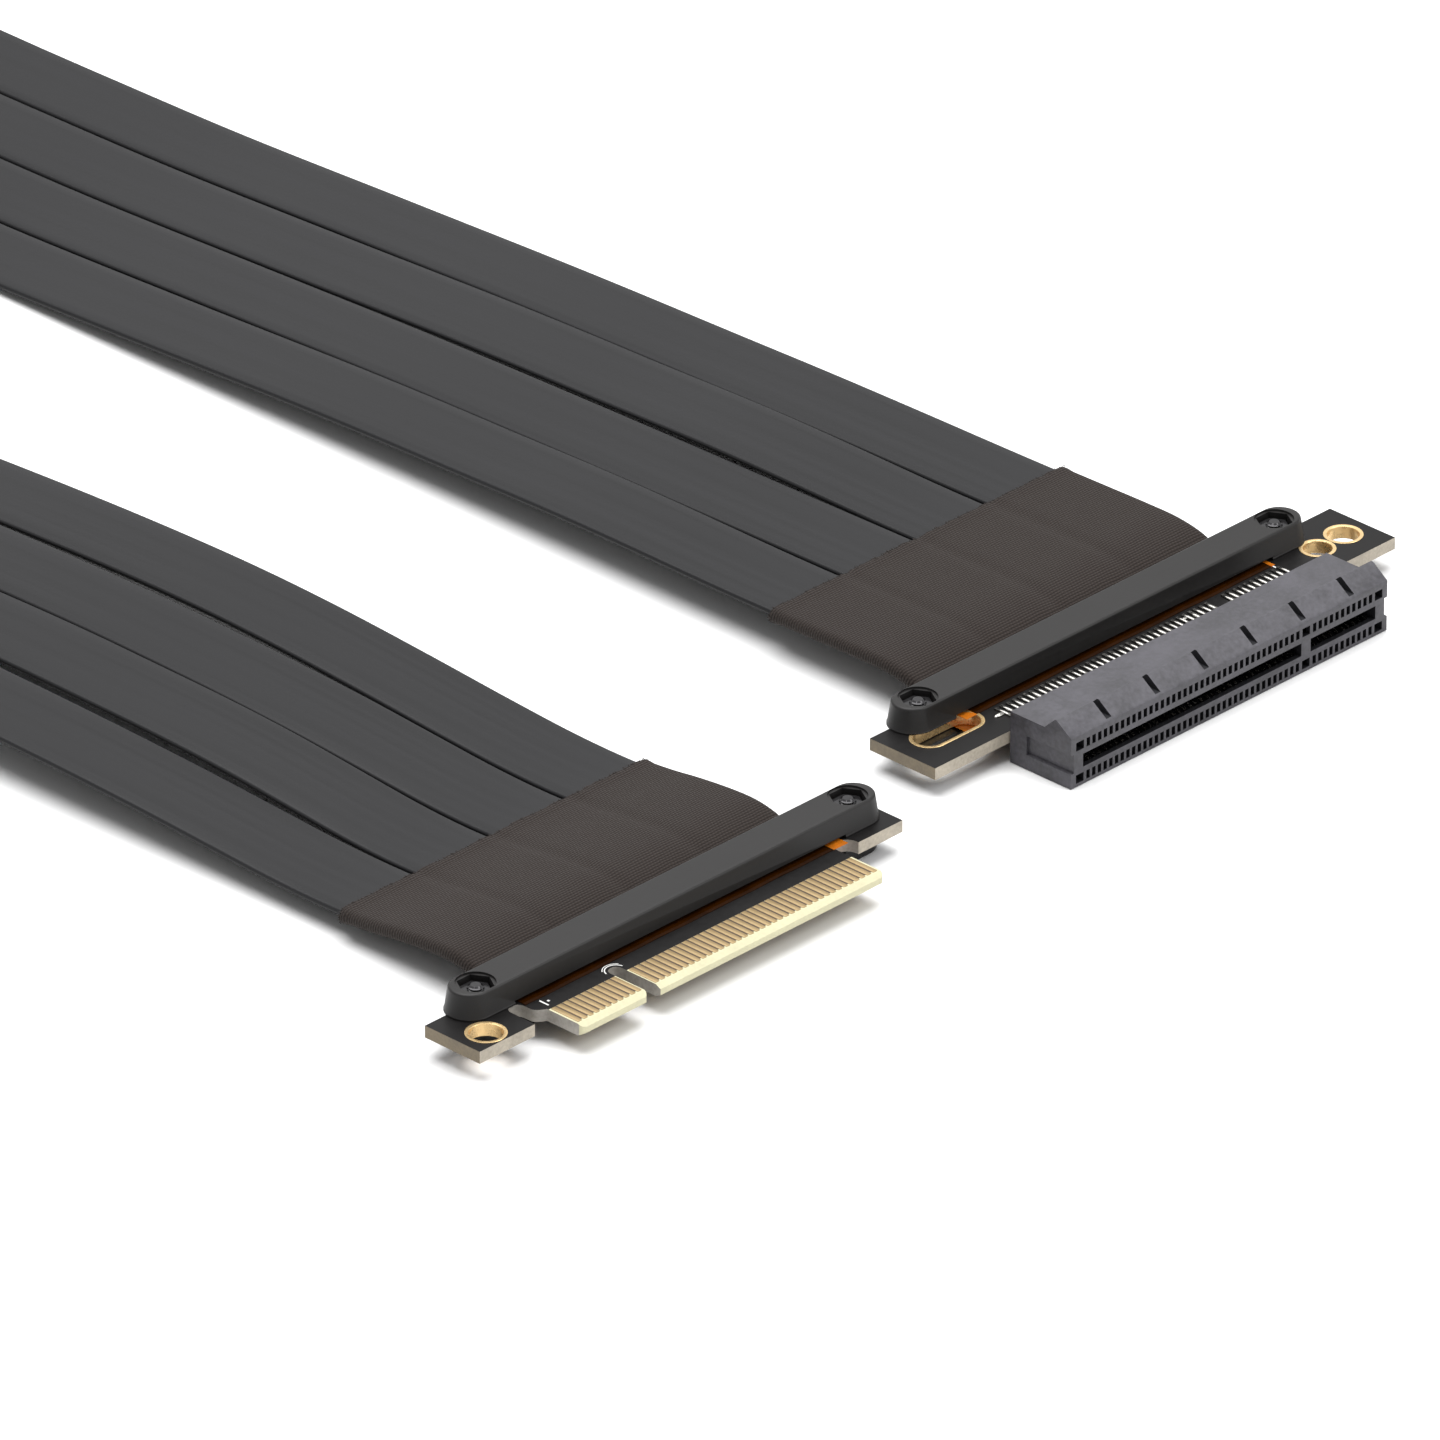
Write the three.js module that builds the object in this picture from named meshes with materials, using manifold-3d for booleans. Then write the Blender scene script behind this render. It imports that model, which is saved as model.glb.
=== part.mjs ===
// A PCI Express riser cable: a card-edge board at one end, a slot at the other, and four flat
// ribbons between them that turn back on themselves in two folds. Millimetres, +Z up.
// X runs along the two connectors, both of them face -Y, and Z = 0 is the surface they stand on.
import * as THREE from 'three';
import { mergeVertices } from 'three/addons/utils/BufferGeometryUtils.js';
import Module from 'manifold-3d';

const wasm = await Module();
wasm.setup();

// Contacts, from the card-edge standard
const pitch = 1.0; // between neighbouring contacts
const shortRow = 11; // contacts before the key
const longRow = 38; // contacts after the key
const keyStep = 3.0; // from the last contact before the key to the first one after it
const platingThickness = 0.06;
const fingerWidth = 0.7;
const fingerLength = 4.5;

const overcut = 1; // how far a cutter runs past the face it opens
const seam = 0.1; // overlap of two solids that are joined or cut as one

// Boards
const boardThickness = 1.6;
const boardClearance = 0.3; // between a board edge and what stands in front of or behind it
const keyWidth = 1.9;
const keyDepth = 7.3; // from the tab's front edge to the end of the key notch
const tabMargin = 0.65; // from the outer contact's centre to the tab's edge
const tabLand = 1.0; // bare board in front of the fingers
const tabCorner = 0.8;
const bevel = 0.4; // at the tab's leading edge
const notchSweep = 2.2; // bend that opens the left notch toward the tab
const notchLead = 1.5; // from the left wing's front edge back to the end of that bend
const tabReach = 9.3; // from the tab's front edge to the ends of the side notches
const maleBack = 12.3; // rear edge of the card-edge board, from the fingers' front ends
const leftWing = 12.75; // beyond the tab
const rightWing = 10.75;
const leftWingFront = 3.3;
const rightWingFront = 6.4;
const leftNotch = 2.2; // widths of the round-ended notches beside the tab
const leftNotchOffset = 1.35; // from the tab's edge to the left notch's near wall
const rightNotch = 3.15;
const femaleDepth = 10.8;
const femaleFront = 12.4; // front edge of the slot board
const femaleCentre = 114.1; // middle of the slot's contacts

// Plated holes
const platingFlange = 0.5; // how far the gold reaches over the board
const barrelWall = 0.1;
const barrelClearance = 0.05;
const maleHoleRadius = 2.05;
const innerHoleRadius = 1.8;
const outerHoleRadius = 1.98;
const slotHoleRadius = 1.95;
const slotHoleTravel = 6.2;
const maleHole = { x: -9.6, y: 6.0 };
const innerHole = { x: 146.2, y: 17.3 };
const outerHole = { x: 151.05, y: 17.5 };
const slotHole = { x: 81.4, y: 18.1 };
const leftMargin = 8.05; // from the plated slot's centre to the board's left edge
const rightMargin = 3.8; // from the outer hole's centre to the board's right edge

// Clamps: the same two bars on both ends
const clampPitch = 63; // between the two screws
const clampOverrun = 0.95; // from a screw to the centre of the bar's round end
const clampTopRadius = 2.65;
const clampBaseRadius = 3.05;
const upperHeight = 3.3;
const lowerHeight = 2.5;
const lowerDraft = 0.25;
const clampSetback = 1.05; // from the board's rear edge forward to the bar's centre line
const maleClampX = 25.5;
const femaleClampX = 112.1;
const reliefHeight = 0.5; // room over the wires and the film, under the bar
const reliefEnd = 0.7; // room beyond each end of the film
const screwRadius = 1.0;
const screwClearance = 0.12;
const headRadius = 1.9;
const headHeight = 1.3;
const headRecess = 0.3; // the head lies this far inside the bar's underside
const screwTip = 0.35; // what stands out above the nut
const nutFlats = 4.0;
const nutHeight = 1.6;
const nutClearance = 0.1;
const nutFloor = 1.0; // plastic under the nut
const recessRadius = 2.4;
const recessDepth = 0.35;

// Film and wires
const filmThickness = 0.18;
const filmLength = 54.6;
const filmAhead = 1.1; // in front of the bar's base
const filmDepth = 3.3;
const wireSize = 0.3;
const wirePitch = 3.6;
const wiresPerRibbon = 3;
const wireFoot = 1.4; // length soldered on the board
const jointDepth = 0.5; // solder line across the feet
const jointSetback = 0.2; // from the feet's ends to the solder line
const wireRise = 0.05; // of a wire's lower side above the board's middle, where it leaves the cable
const wireKnee = 0.15; // from the board's rear edge to the bend that lifts a wire onto the board

// Cable
const ribbonCount = 4;
const ribbonWidth = 12.4;
const ribbonThickness = 0.9;
const ribbonGap = 0.4;
const ribbonShoulder = 0.3; // width of the rounded long edges
const edgeShare = 0.5; // of a flat section's thickness that is left at its long edges
const groundClearance = 0.05; // under the flat part of the ribbons
const foldRadius = 0.6; // of the ribbon's middle layer
const sleeveWall = 0.3;
const sleeveSide = 0.6;
const sleeveClearance = 0.15;

// Slot
const housingLength = 56;
const housingFront = 2.1;
const housingBottom = 0.1;
const housingHeight = 6.9;
const ridgeHeight = 1.6; // above the plateau
const facetDepth = 2.4;
const facetDrop = 1.7;
const rampLength = 1.7;
const rampFoot = 0.3;
const slitWidth = 0.9;
const slitSpacing = 8.6;
const slitFloor = 0.1; // above the plateau
const slitCount = 6;
const slitOffset = 0.4; // of the row of slits from the middle
const slotHeight = 1.76;
const slotDepth = 8.0;
const slotMargin = 0.9; // beyond the outer contacts
const keyWall = 1.65;
const cellWidth = 0.6;
const cellHeight = 1.15;
const cellOffset = 2.2; // from the board's middle plane to a cell's middle
const bigCellWidth = 1.35;
const bigCellStep = 1.45; // from the outer contact to the big cell's centre
const bigCellDepth = 2.0;
const lipDepth = 0.7; // wall between slot and cell at the mouth
const channelDepth = 7.6;
const endRecessDepth = 0.5;
const endRecessLength = 7.3;
const endRecessHeight = 2.6;
const endRecessFoot = 1.95; // above the housing's bottom

// Spring contacts
const contactWidth = 0.36;
const contactThickness = 0.22;
const tailHeight = 0.62; // of the tail's root above the board
const tailReach = 4.6; // over the board
const tailFoot = 1.8; // where the tail comes down on the board, behind the board's edge
const contactSetback = 2.8; // from the slot's mouth to the contact's tip
const contactRest = 0.74; // height of the tip above the slot's middle
const springDrop = 0.3; // how far the contact slopes down inside the rear wall
const tailClearance = 0.15;
const carrierDepth = 0.8; // the bridge that joins a row inside the rear wall
const carrierSetback = 0.6;

// What follows from them
const boardBottom = lowerHeight;
const boardTop = boardBottom + boardThickness;
const boardMiddle = boardBottom + boardThickness / 2;
const shortEnd = (shortRow - 1) * pitch;
const longStart = shortEnd + keyStep;
const longEnd = longStart + (longRow - 1) * pitch;
const tabLeft = -tabMargin;
const tabRight = longEnd + tabMargin;
const keyCentre = (shortEnd + longStart) / 2;
const femaleBack = femaleFront + femaleDepth;
const femaleKey = femaleCentre + (longEnd / 2 - keyCentre);
const ribbonPitch = ribbonWidth + ribbonGap;
const ribbonHalf = ribbonThickness / 2;
const housingRear = femaleFront - boardClearance;
const plateau = housingBottom + housingHeight;

// Routes of the ribbons' middle layer behind each clamp, as distance from the board's rear edge
// and height. Past its last point a ribbon lies flat as far as its fold.
const groundLevel = ribbonHalf + groundClearance;
const maleRoute = [
  [1.2, boardMiddle], [1.7, boardMiddle], [3.2, boardMiddle + 0.05], [5.6, 4.2], [8.7, 4.7],
  [12.7, 4.6], [17.7, 4.1], [22.0, 3.5], [26.9, 3.05], [32.7, 2.9], [39.7, 3.05], [47.7, 3.5],
  [62.7, 4.4], [78.7, 5.0], [97.7, 5.2], [122.7, 4.6], [150.7, 3.2], [177.7, 1.7],
  [202.7, 0.7], [215.7, groundLevel],
];
const femaleRoute = [
  [1.2, boardMiddle], [1.7, boardMiddle], [3.2, boardMiddle + 0.1], [5.8, 4.5], [9.8, 5.15],
  [14.8, 5.2], [20.8, 5.1], [28.8, 4.95], [38.8, 4.8], [51.8, 4.65], [74.8, 4.35],
  [106.8, 3.6], [140.8, 2.2], [170.8, 1.0], [195.8, 0.6], [206.8, groundLevel],
];
const maleSleeveEnd = 26.9;
const femaleSleeveEnd = 28.8;
const foldLine = 250.5; // where the first fold line meets X = 0, in Y

const clampSites = {
  male: {
    x: maleClampX, back: maleBack, boardY: maleBack - clampSetback,
    route: maleRoute, sleeveEnd: maleSleeveEnd,
  },
  female: {
    x: femaleClampX, back: femaleBack, boardY: femaleBack - clampSetback,
    route: femaleRoute, sleeveEnd: femaleSleeveEnd,
  },
};

const materials = {
  board: { color: 0x1b1a1a, roughness: 0.45, metalness: 0.0 },
  gold: { color: 0xd0a45c, roughness: 0.35, metalness: 0.9 },
  clamp: { color: 0x2c2a2a, roughness: 0.5, metalness: 0.0 },
  steel: { color: 0x1c1c1e, roughness: 0.35, metalness: 0.8 },
  film: { color: 0x7a3808, roughness: 0.25, metalness: 0.0 },
  tin: { color: 0xb9b9b6, roughness: 0.3, metalness: 0.95 },
  cloth: { color: 0x2f2b2a, roughness: 0.9, metalness: 0.0 },
  housing: { color: 0x4b4952, roughness: 0.6, metalness: 0.0 },
  ribbon: { color: 0x222224, roughness: 0.4, metalness: 0.0 },
};

const assembly = new THREE.Group();

function addPiece(name, geometry, look) {
  const mesh = new THREE.Mesh(geometry, new THREE.MeshStandardMaterial(materials[look]));
  mesh.name = name;
  assembly.add(mesh);
  return mesh;
}

// Solids to join and cut

function toSolid(geometry) {
  const bare = geometry.clone();
  bare.deleteAttribute('normal');
  bare.deleteAttribute('uv');
  const merged = mergeVertices(bare, 1e-4);
  const mesh = new wasm.Mesh({
    numProp: 3,
    vertProperties: new Float32Array(merged.attributes.position.array),
    triVerts: new Uint32Array(merged.index.array),
  });
  mesh.merge();
  return new wasm.Manifold(mesh);
}

function toGeometry(solid) {
  const mesh = solid.getMesh();
  const geometry = new THREE.BufferGeometry();
  const positions = new Float32Array(mesh.numVert * 3);
  for (let i = 0; i < mesh.numVert; i += 1) {
    for (let k = 0; k < 3; k += 1) {
      positions[3 * i + k] = mesh.vertProperties[mesh.numProp * i + k];
    }
  }
  geometry.setAttribute('position', new THREE.BufferAttribute(positions, 3));
  geometry.setIndex(new THREE.BufferAttribute(new Uint32Array(mesh.triVerts), 1));
  return geometry;
}

function cut(geometry, cutters) {
  let solid = toSolid(geometry);
  for (const cutter of cutters) {
    solid = solid.subtract(toSolid(cutter));
  }
  return toGeometry(solid);
}

function join(geometries) {
  let solid = toSolid(geometries[0]);
  for (const geometry of geometries.slice(1)) {
    solid = solid.add(toSolid(geometry));
  }
  return toGeometry(solid);
}

function box(x0, x1, y0, y1, z0, z1) {
  const geometry = new THREE.BoxGeometry(x1 - x0, y1 - y0, z1 - z0);
  geometry.translate((x0 + x1) / 2, (y0 + y1) / 2, (z0 + z1) / 2);
  return geometry;
}

function plate(shape, z0, z1, curveSegments = 12) {
  const geometry = new THREE.ExtrudeGeometry(shape, {
    depth: z1 - z0, bevelEnabled: false, curveSegments,
  });
  geometry.translate(0, 0, z0);
  return geometry;
}

function shapeOf(points) {
  return new THREE.Shape(points.map(([a, b]) => new THREE.Vector2(a, b)));
}

// A bar along X whose section is drawn in Y and Z
function barAlongX(section, x0, x1) {
  const geometry = new THREE.ExtrudeGeometry(shapeOf(section), {
    depth: x1 - x0, bevelEnabled: false,
  });
  const turn = new THREE.Matrix4().makeBasis(
    new THREE.Vector3(0, 1, 0), new THREE.Vector3(0, 0, 1), new THREE.Vector3(1, 0, 0),
  );
  geometry.applyMatrix4(turn);
  geometry.translate(x0, 0, 0);
  return geometry;
}

// A bar along Y whose section is drawn in X and Z
function barAlongY(section, y0, y1) {
  const geometry = new THREE.ExtrudeGeometry(shapeOf(section), {
    depth: y1 - y0, bevelEnabled: false,
  });
  const turn = new THREE.Matrix4().makeBasis(
    new THREE.Vector3(1, 0, 0), new THREE.Vector3(0, 0, 1), new THREE.Vector3(0, -1, 0),
  );
  geometry.applyMatrix4(turn);
  geometry.translate(0, y1, 0);
  return geometry;
}

function rod(x, y, radius, z0, z1, segments = 16) {
  const geometry = new THREE.CylinderGeometry(radius, radius, z1 - z0, segments);
  geometry.rotateX(Math.PI / 2);
  geometry.translate(x, y, (z0 + z1) / 2);
  return geometry;
}

function oblongShape(x, y, halfTravel, radius) {
  const shape = new THREE.Shape();
  shape.absarc(x + halfTravel, y, radius, -Math.PI / 2, Math.PI / 2, false);
  shape.absarc(x - halfTravel, y, radius, Math.PI / 2, 1.5 * Math.PI, false);
  return shape;
}

// A closed skin over rings of points that all have the same count
function skin(rings) {
  const count = rings[0].length;
  const positions = rings.flat(2);
  const faces = [];
  const corner = (ring, i) => ring * count + (i % count);
  for (let ring = 0; ring < rings.length - 1; ring += 1) {
    for (let i = 0; i < count; i += 1) {
      faces.push(corner(ring, i), corner(ring, i + 1), corner(ring + 1, i + 1));
      faces.push(corner(ring, i), corner(ring + 1, i + 1), corner(ring + 1, i));
    }
  }
  const last = rings.length - 1;
  for (let i = 1; i < count - 1; i += 1) {
    faces.push(corner(0, 0), corner(0, i + 1), corner(0, i));
    faces.push(corner(last, 0), corner(last, i), corner(last, i + 1));
  }
  const geometry = new THREE.BufferGeometry();
  geometry.setAttribute('position', new THREE.Float32BufferAttribute(positions, 3));
  geometry.setIndex(faces);
  return geometry;
}

function oblongRing(x, y, z, halfTravel, radius) {
  return oblongShape(x, y, halfTravel, radius).getPoints(8).slice(0, -1).map((p) => [p.x, p.y, z]);
}

// Mirrors a geometry in the boards' middle plane and keeps its faces outward
function flipped(geometry) {
  const copy = geometry.index ? geometry.toNonIndexed() : geometry.clone();
  copy.scale(1, 1, -1);
  copy.translate(0, 0, 2 * boardMiddle);
  const position = copy.attributes.position;
  const a = new THREE.Vector3();
  const b = new THREE.Vector3();
  for (let i = 0; i < position.count; i += 3) {
    a.fromBufferAttribute(position, i);
    b.fromBufferAttribute(position, i + 1);
    position.setXYZ(i, b.x, b.y, b.z);
    position.setXYZ(i + 1, a.x, a.y, a.z);
  }
  const bare = new THREE.BufferGeometry();
  bare.setAttribute('position', position);
  return mergeVertices(bare, 1e-4);
}

// Boards

function screwSlot(site, side) {
  const x = site.x + side * clampPitch / 2;
  const radius = screwRadius + screwClearance;
  return join([
    rod(x, site.boardY, radius, boardBottom - overcut, boardTop + overcut),
    box(x - radius, x + radius, site.boardY, site.back + overcut,
      boardBottom - overcut, boardTop + overcut),
  ]);
}

function maleBoardShape() {
  const shape = new THREE.Shape();
  const front = -tabLand;
  const reach = front + tabReach;
  const left = tabLeft - leftWing;
  const right = tabRight + rightWing;
  const leftWall = tabLeft - leftNotchOffset;
  const leftRadius = leftNotch / 2;
  const rightRadius = rightNotch / 2;
  const keyRadius = keyWidth / 2;
  shape.moveTo(left, leftWingFront);
  shape.lineTo(leftWall - leftNotch, leftWingFront);
  shape.lineTo(leftWall - leftNotch, reach - leftRadius);
  shape.absarc(leftWall - leftRadius, reach - leftRadius, leftRadius, Math.PI, 0, true);
  shape.lineTo(leftWall, reach - 2 * leftRadius);
  shape.quadraticCurveTo(leftWall, leftWingFront + notchSweep, tabLeft, leftWingFront + notchLead);
  shape.lineTo(tabLeft, front + tabCorner);
  shape.absarc(tabLeft + tabCorner, front + tabCorner, tabCorner, Math.PI, 1.5 * Math.PI, false);
  shape.lineTo(keyCentre - keyRadius - tabCorner, front);
  shape.absarc(keyCentre - keyRadius - tabCorner, front + tabCorner, tabCorner,
    1.5 * Math.PI, 2 * Math.PI, false);
  shape.lineTo(keyCentre - keyRadius, front + keyDepth - keyRadius);
  shape.absarc(keyCentre, front + keyDepth - keyRadius, keyRadius, Math.PI, 0, true);
  shape.lineTo(keyCentre + keyRadius, front);
  shape.lineTo(tabRight - tabCorner, front);
  shape.absarc(tabRight - tabCorner, front + tabCorner, tabCorner, 1.5 * Math.PI, 2 * Math.PI,
    false);
  shape.lineTo(tabRight, reach - rightRadius);
  shape.absarc(tabRight + rightRadius, reach - rightRadius, rightRadius, Math.PI, 0, true);
  shape.lineTo(tabRight + rightNotch, rightWingFront);
  shape.lineTo(right, rightWingFront);
  shape.lineTo(right, maleBack);
  shape.lineTo(left, maleBack);
  return shape;
}

function bevelCutter(side) {
  const face = boardMiddle + side * boardThickness / 2;
  const front = -tabLand;
  const section = [
    [front - bevel, face + side * bevel],
    [front - bevel, face - side * bevel * 1.5],
    [front, face - side * bevel],
    [front + 2 * bevel, face],
    [front + 2 * bevel, face + side * bevel],
  ];
  const points = side > 0 ? section : section.slice().reverse();
  return barAlongX(points, tabLeft - overcut, tabRight + overcut);
}

function maleBoard() {
  const hole = rod(maleHole.x, maleHole.y, maleHoleRadius + barrelWall + barrelClearance,
    boardBottom - overcut, boardTop + overcut, 20);
  return cut(plate(maleBoardShape(), boardBottom, boardTop, 6), [
    hole,
    screwSlot(clampSites.male, -1),
    screwSlot(clampSites.male, 1),
    bevelCutter(1),
    bevelCutter(-1),
  ]);
}

function femaleBoard() {
  const wall = barrelWall + barrelClearance;
  const left = slotHole.x - leftMargin;
  const right = outerHole.x + rightMargin;
  const z0 = boardBottom - overcut;
  const z1 = boardTop + overcut;
  return cut(box(left, right, femaleFront, femaleBack, boardBottom, boardTop), [
    rod(innerHole.x, innerHole.y, innerHoleRadius + wall, z0, z1, 20),
    rod(outerHole.x, outerHole.y, outerHoleRadius + wall, z0, z1, 20),
    plate(oblongShape(slotHole.x, slotHole.y, slotHoleTravel / 2, slotHoleRadius + wall),
      z0, z1, 8),
    screwSlot(clampSites.female, -1),
    screwSlot(clampSites.female, 1),
  ]);
}

// Gold

// One strip of plating, ribbed into fingers, on the board's upper face
function contactStrip(first, count) {
  const base = boardTop;
  const web = base + platingThickness / 3;
  const face = base + platingThickness;
  const section = [];
  for (let i = 0; i < count; i += 1) {
    const x = first + i * pitch;
    section.push([x - fingerWidth / 2, i === 0 ? base : web]);
    section.push([x - fingerWidth / 2, face], [x + fingerWidth / 2, face]);
    section.push([x + fingerWidth / 2, i === count - 1 ? base : web]);
  }
  return barAlongY(section.reverse(), 0, fingerLength);
}

function platedHole(hole, radius) {
  const top = boardTop + platingThickness;
  const bottom = boardBottom - platingThickness;
  const outer = radius + platingFlange;
  const wall = radius + barrelWall;
  const profile = [
    [radius, bottom], [outer, bottom], [outer, boardBottom], [wall, boardBottom],
    [wall, boardTop], [outer, boardTop], [outer, top], [radius, top], [radius, bottom],
  ];
  const geometry = new THREE.LatheGeometry(profile.map(([r, z]) => new THREE.Vector2(r, z)), 20);
  geometry.rotateX(Math.PI / 2);
  geometry.translate(hole.x, hole.y, 0);
  return geometry;
}

function platedSlot() {
  const layer = (radius, z0, z1) => plate(
    oblongShape(slotHole.x, slotHole.y, slotHoleTravel / 2, radius), z0, z1, 8,
  );
  const top = boardTop + platingThickness;
  const bottom = boardBottom - platingThickness;
  const body = join([
    layer(slotHoleRadius + barrelWall, bottom, top),
    layer(slotHoleRadius + platingFlange, boardTop, top),
    layer(slotHoleRadius + platingFlange, bottom, boardBottom),
  ]);
  return cut(body, [layer(slotHoleRadius, bottom - overcut, top + overcut)]);
}

// Clamps and fasteners

function hexagon(x, y, flats, z0, z1) {
  const radius = flats / Math.sqrt(3);
  const points = [];
  for (let i = 0; i < 6; i += 1) {
    const angle = i * Math.PI / 3;
    points.push([x + radius * Math.cos(angle), y + radius * Math.sin(angle)]);
  }
  return plate(shapeOf(points), z0, z1);
}

// Room between the two bars for the film, the wires, their joints and the sleeve
function relief(site) {
  const reach = clampBaseRadius + overcut;
  const half = filmLength / 2 + reliefEnd;
  return box(site.x - half, site.x + half,
    site.boardY - reach, site.boardY + reach,
    boardBottom - reliefHeight, boardTop + reliefHeight);
}

// Shallow pockets that clear the gold round the holes of the slot board
function goldPockets() {
  const reach = platingFlange + barrelClearance;
  const room = platingThickness + barrelClearance;
  const z0 = boardBottom - room;
  const z1 = boardTop + room;
  return [
    rod(innerHole.x, innerHole.y, innerHoleRadius + reach, z0, z1, 20),
    plate(oblongShape(slotHole.x, slotHole.y, slotHoleTravel / 2, slotHoleRadius + reach),
      z0, z1, 8),
  ];
}

function upperClamp(site) {
  const half = clampPitch / 2 + clampOverrun;
  const top = boardTop + upperHeight;
  const bar = skin([
    oblongRing(site.x, site.boardY, boardTop, half, clampBaseRadius),
    oblongRing(site.x, site.boardY, top, half, clampTopRadius),
  ]);
  const cutters = [relief(site), ...goldPockets()];
  for (const side of [-1, 1]) {
    const x = site.x + side * clampPitch / 2;
    cutters.push(rod(x, site.boardY, screwRadius + screwClearance, boardTop - overcut, top));
    cutters.push(hexagon(x, site.boardY, nutFlats + 2 * nutClearance, boardTop + nutFloor,
      top + overcut));
    cutters.push(rod(x, site.boardY, recessRadius, top - recessDepth, top + overcut, 24));
  }
  return cut(bar, cutters);
}

function lowerClamp(site) {
  const half = clampPitch / 2 + clampOverrun;
  const bar = skin([
    oblongRing(site.x, site.boardY, 0, half, clampBaseRadius - lowerDraft),
    oblongRing(site.x, site.boardY, boardBottom, half, clampBaseRadius),
  ]);
  const cutters = [relief(site), ...goldPockets()];
  for (const side of [-1, 1]) {
    const x = site.x + side * clampPitch / 2;
    cutters.push(rod(x, site.boardY, screwRadius + screwClearance, -overcut,
      boardBottom + overcut));
    cutters.push(rod(x, site.boardY, headRadius + screwClearance, -overcut,
      headRecess + headHeight, 20));
  }
  return cut(bar, cutters);
}

function screw(site, side) {
  const x = site.x + side * clampPitch / 2;
  const shoulder = headRecess + headHeight;
  const tip = boardTop + nutFloor + nutHeight + screwTip;
  return join([
    rod(x, site.boardY, headRadius, headRecess, shoulder, 20),
    rod(x, site.boardY, screwRadius, shoulder - seam, tip),
  ]);
}

function nut(site, side) {
  const x = site.x + side * clampPitch / 2;
  const z0 = boardTop + nutFloor;
  const bore = rod(x, site.boardY, screwRadius + screwClearance, z0 - overcut,
    z0 + nutHeight + overcut);
  return cut(hexagon(x, site.boardY, nutFlats, z0, z0 + nutHeight), [bore]);
}

// Film and wires, drawn on the boards' upper side

function film(site) {
  const y0 = site.boardY - clampBaseRadius - filmAhead;
  const strip = box(site.x - filmLength / 2, site.x + filmLength / 2, y0, y0 + filmDepth,
    boardTop, boardTop + filmThickness);
  return cut(strip, goldPockets());
}

function wires(site) {
  const foot = site.back - wireFoot;
  const start = site.back + site.route[0][0];
  const low = boardMiddle + wireRise;
  const section = [
    [start, low], [start, low + wireSize], [site.back + wireKnee + wireSize, boardTop + wireSize],
    [foot, boardTop + wireSize], [foot, boardTop], [site.back + wireKnee, boardTop],
  ];
  const pieces = [];
  const reach = (wiresPerRibbon - 1) * wirePitch / 2;
  for (let ribbon = 0; ribbon < ribbonCount; ribbon += 1) {
    const middle = site.x + ribbonOffset(ribbon);
    for (let i = 0; i < wiresPerRibbon; i += 1) {
      const x = middle - reach + i * wirePitch;
      pieces.push(barAlongX(section, x - wireSize / 2, x + wireSize / 2));
    }
  }
  const outer = ribbonOffset(ribbonCount - 1) + reach;
  const line = foot + jointSetback;
  pieces.push(box(site.x - outer, site.x + outer, line, line + jointDepth,
    boardTop, boardTop + wireSize));
  return join(pieces);
}

// Cable

function ribbonOffset(index) {
  return (index - (ribbonCount - 1) / 2) * ribbonPitch;
}

function sleeveHalfWidth() {
  return (ribbonCount * ribbonPitch - ribbonGap) / 2 + sleeveClearance + sleeveSide;
}

function sleeveHalfThickness() {
  return ribbonHalf + sleeveClearance + sleeveWall;
}

// A flat section with eased long edges: offsets across and through
function flatSection(half, thick, shoulder) {
  const inner = half - shoulder;
  const edge = thick * edgeShare;
  return [
    [-half, -edge], [-half, edge], [-inner, thick], [inner, thick],
    [half, edge], [half, -edge], [inner, -thick], [-inner, -thick],
  ];
}

function sweep(stations, section) {
  return skin(stations.map(({ centre, across, up }) => section.map(([a, b]) => [
    centre[0] + across[0] * a + up[0] * b,
    centre[1] + across[1] * a + up[1] * b,
    centre[2] + across[2] * a + up[2] * b,
  ])));
}

// Stations along a leg, from its clamp outward
function legStations(site, x) {
  const { route, back } = site;
  return route.map(([y, z], i) => {
    const before = route[Math.max(i - 1, 0)];
    const after = route[Math.min(i + 1, route.length - 1)];
    const run = after[0] - before[0];
    const rise = i === 0 ? 0 : after[1] - before[1];
    const length = Math.hypot(run, rise);
    return {
      centre: [x, back + y, z], across: [1, 0, 0], up: [0, -rise / length, run / length],
    };
  });
}

// A half-round bend over a line at 45 degrees. The slanted rows keep the ribbon's flat length.
function foldStations(x, y, side) {
  const slant = Math.SQRT1_2;
  const bends = 4;
  const stations = [];
  for (let step = 0; step <= bends; step += 1) {
    const turn = step * Math.PI / bends;
    const flat = (turn - Math.PI / 2) * foldRadius;
    const reach = (Math.sin(turn) - Math.PI / 2) * foldRadius;
    const lift = (1 - Math.cos(turn)) * foldRadius;
    stations.push({
      centre: [
        x + side * slant * (flat - reach), y + slant * (flat + reach), groundLevel + lift,
      ],
      across: [side, 1, 0],
      up: [side * slant * Math.sin(turn), -slant * Math.sin(turn), Math.cos(turn)],
    });
  }
  return stations;
}

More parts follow.
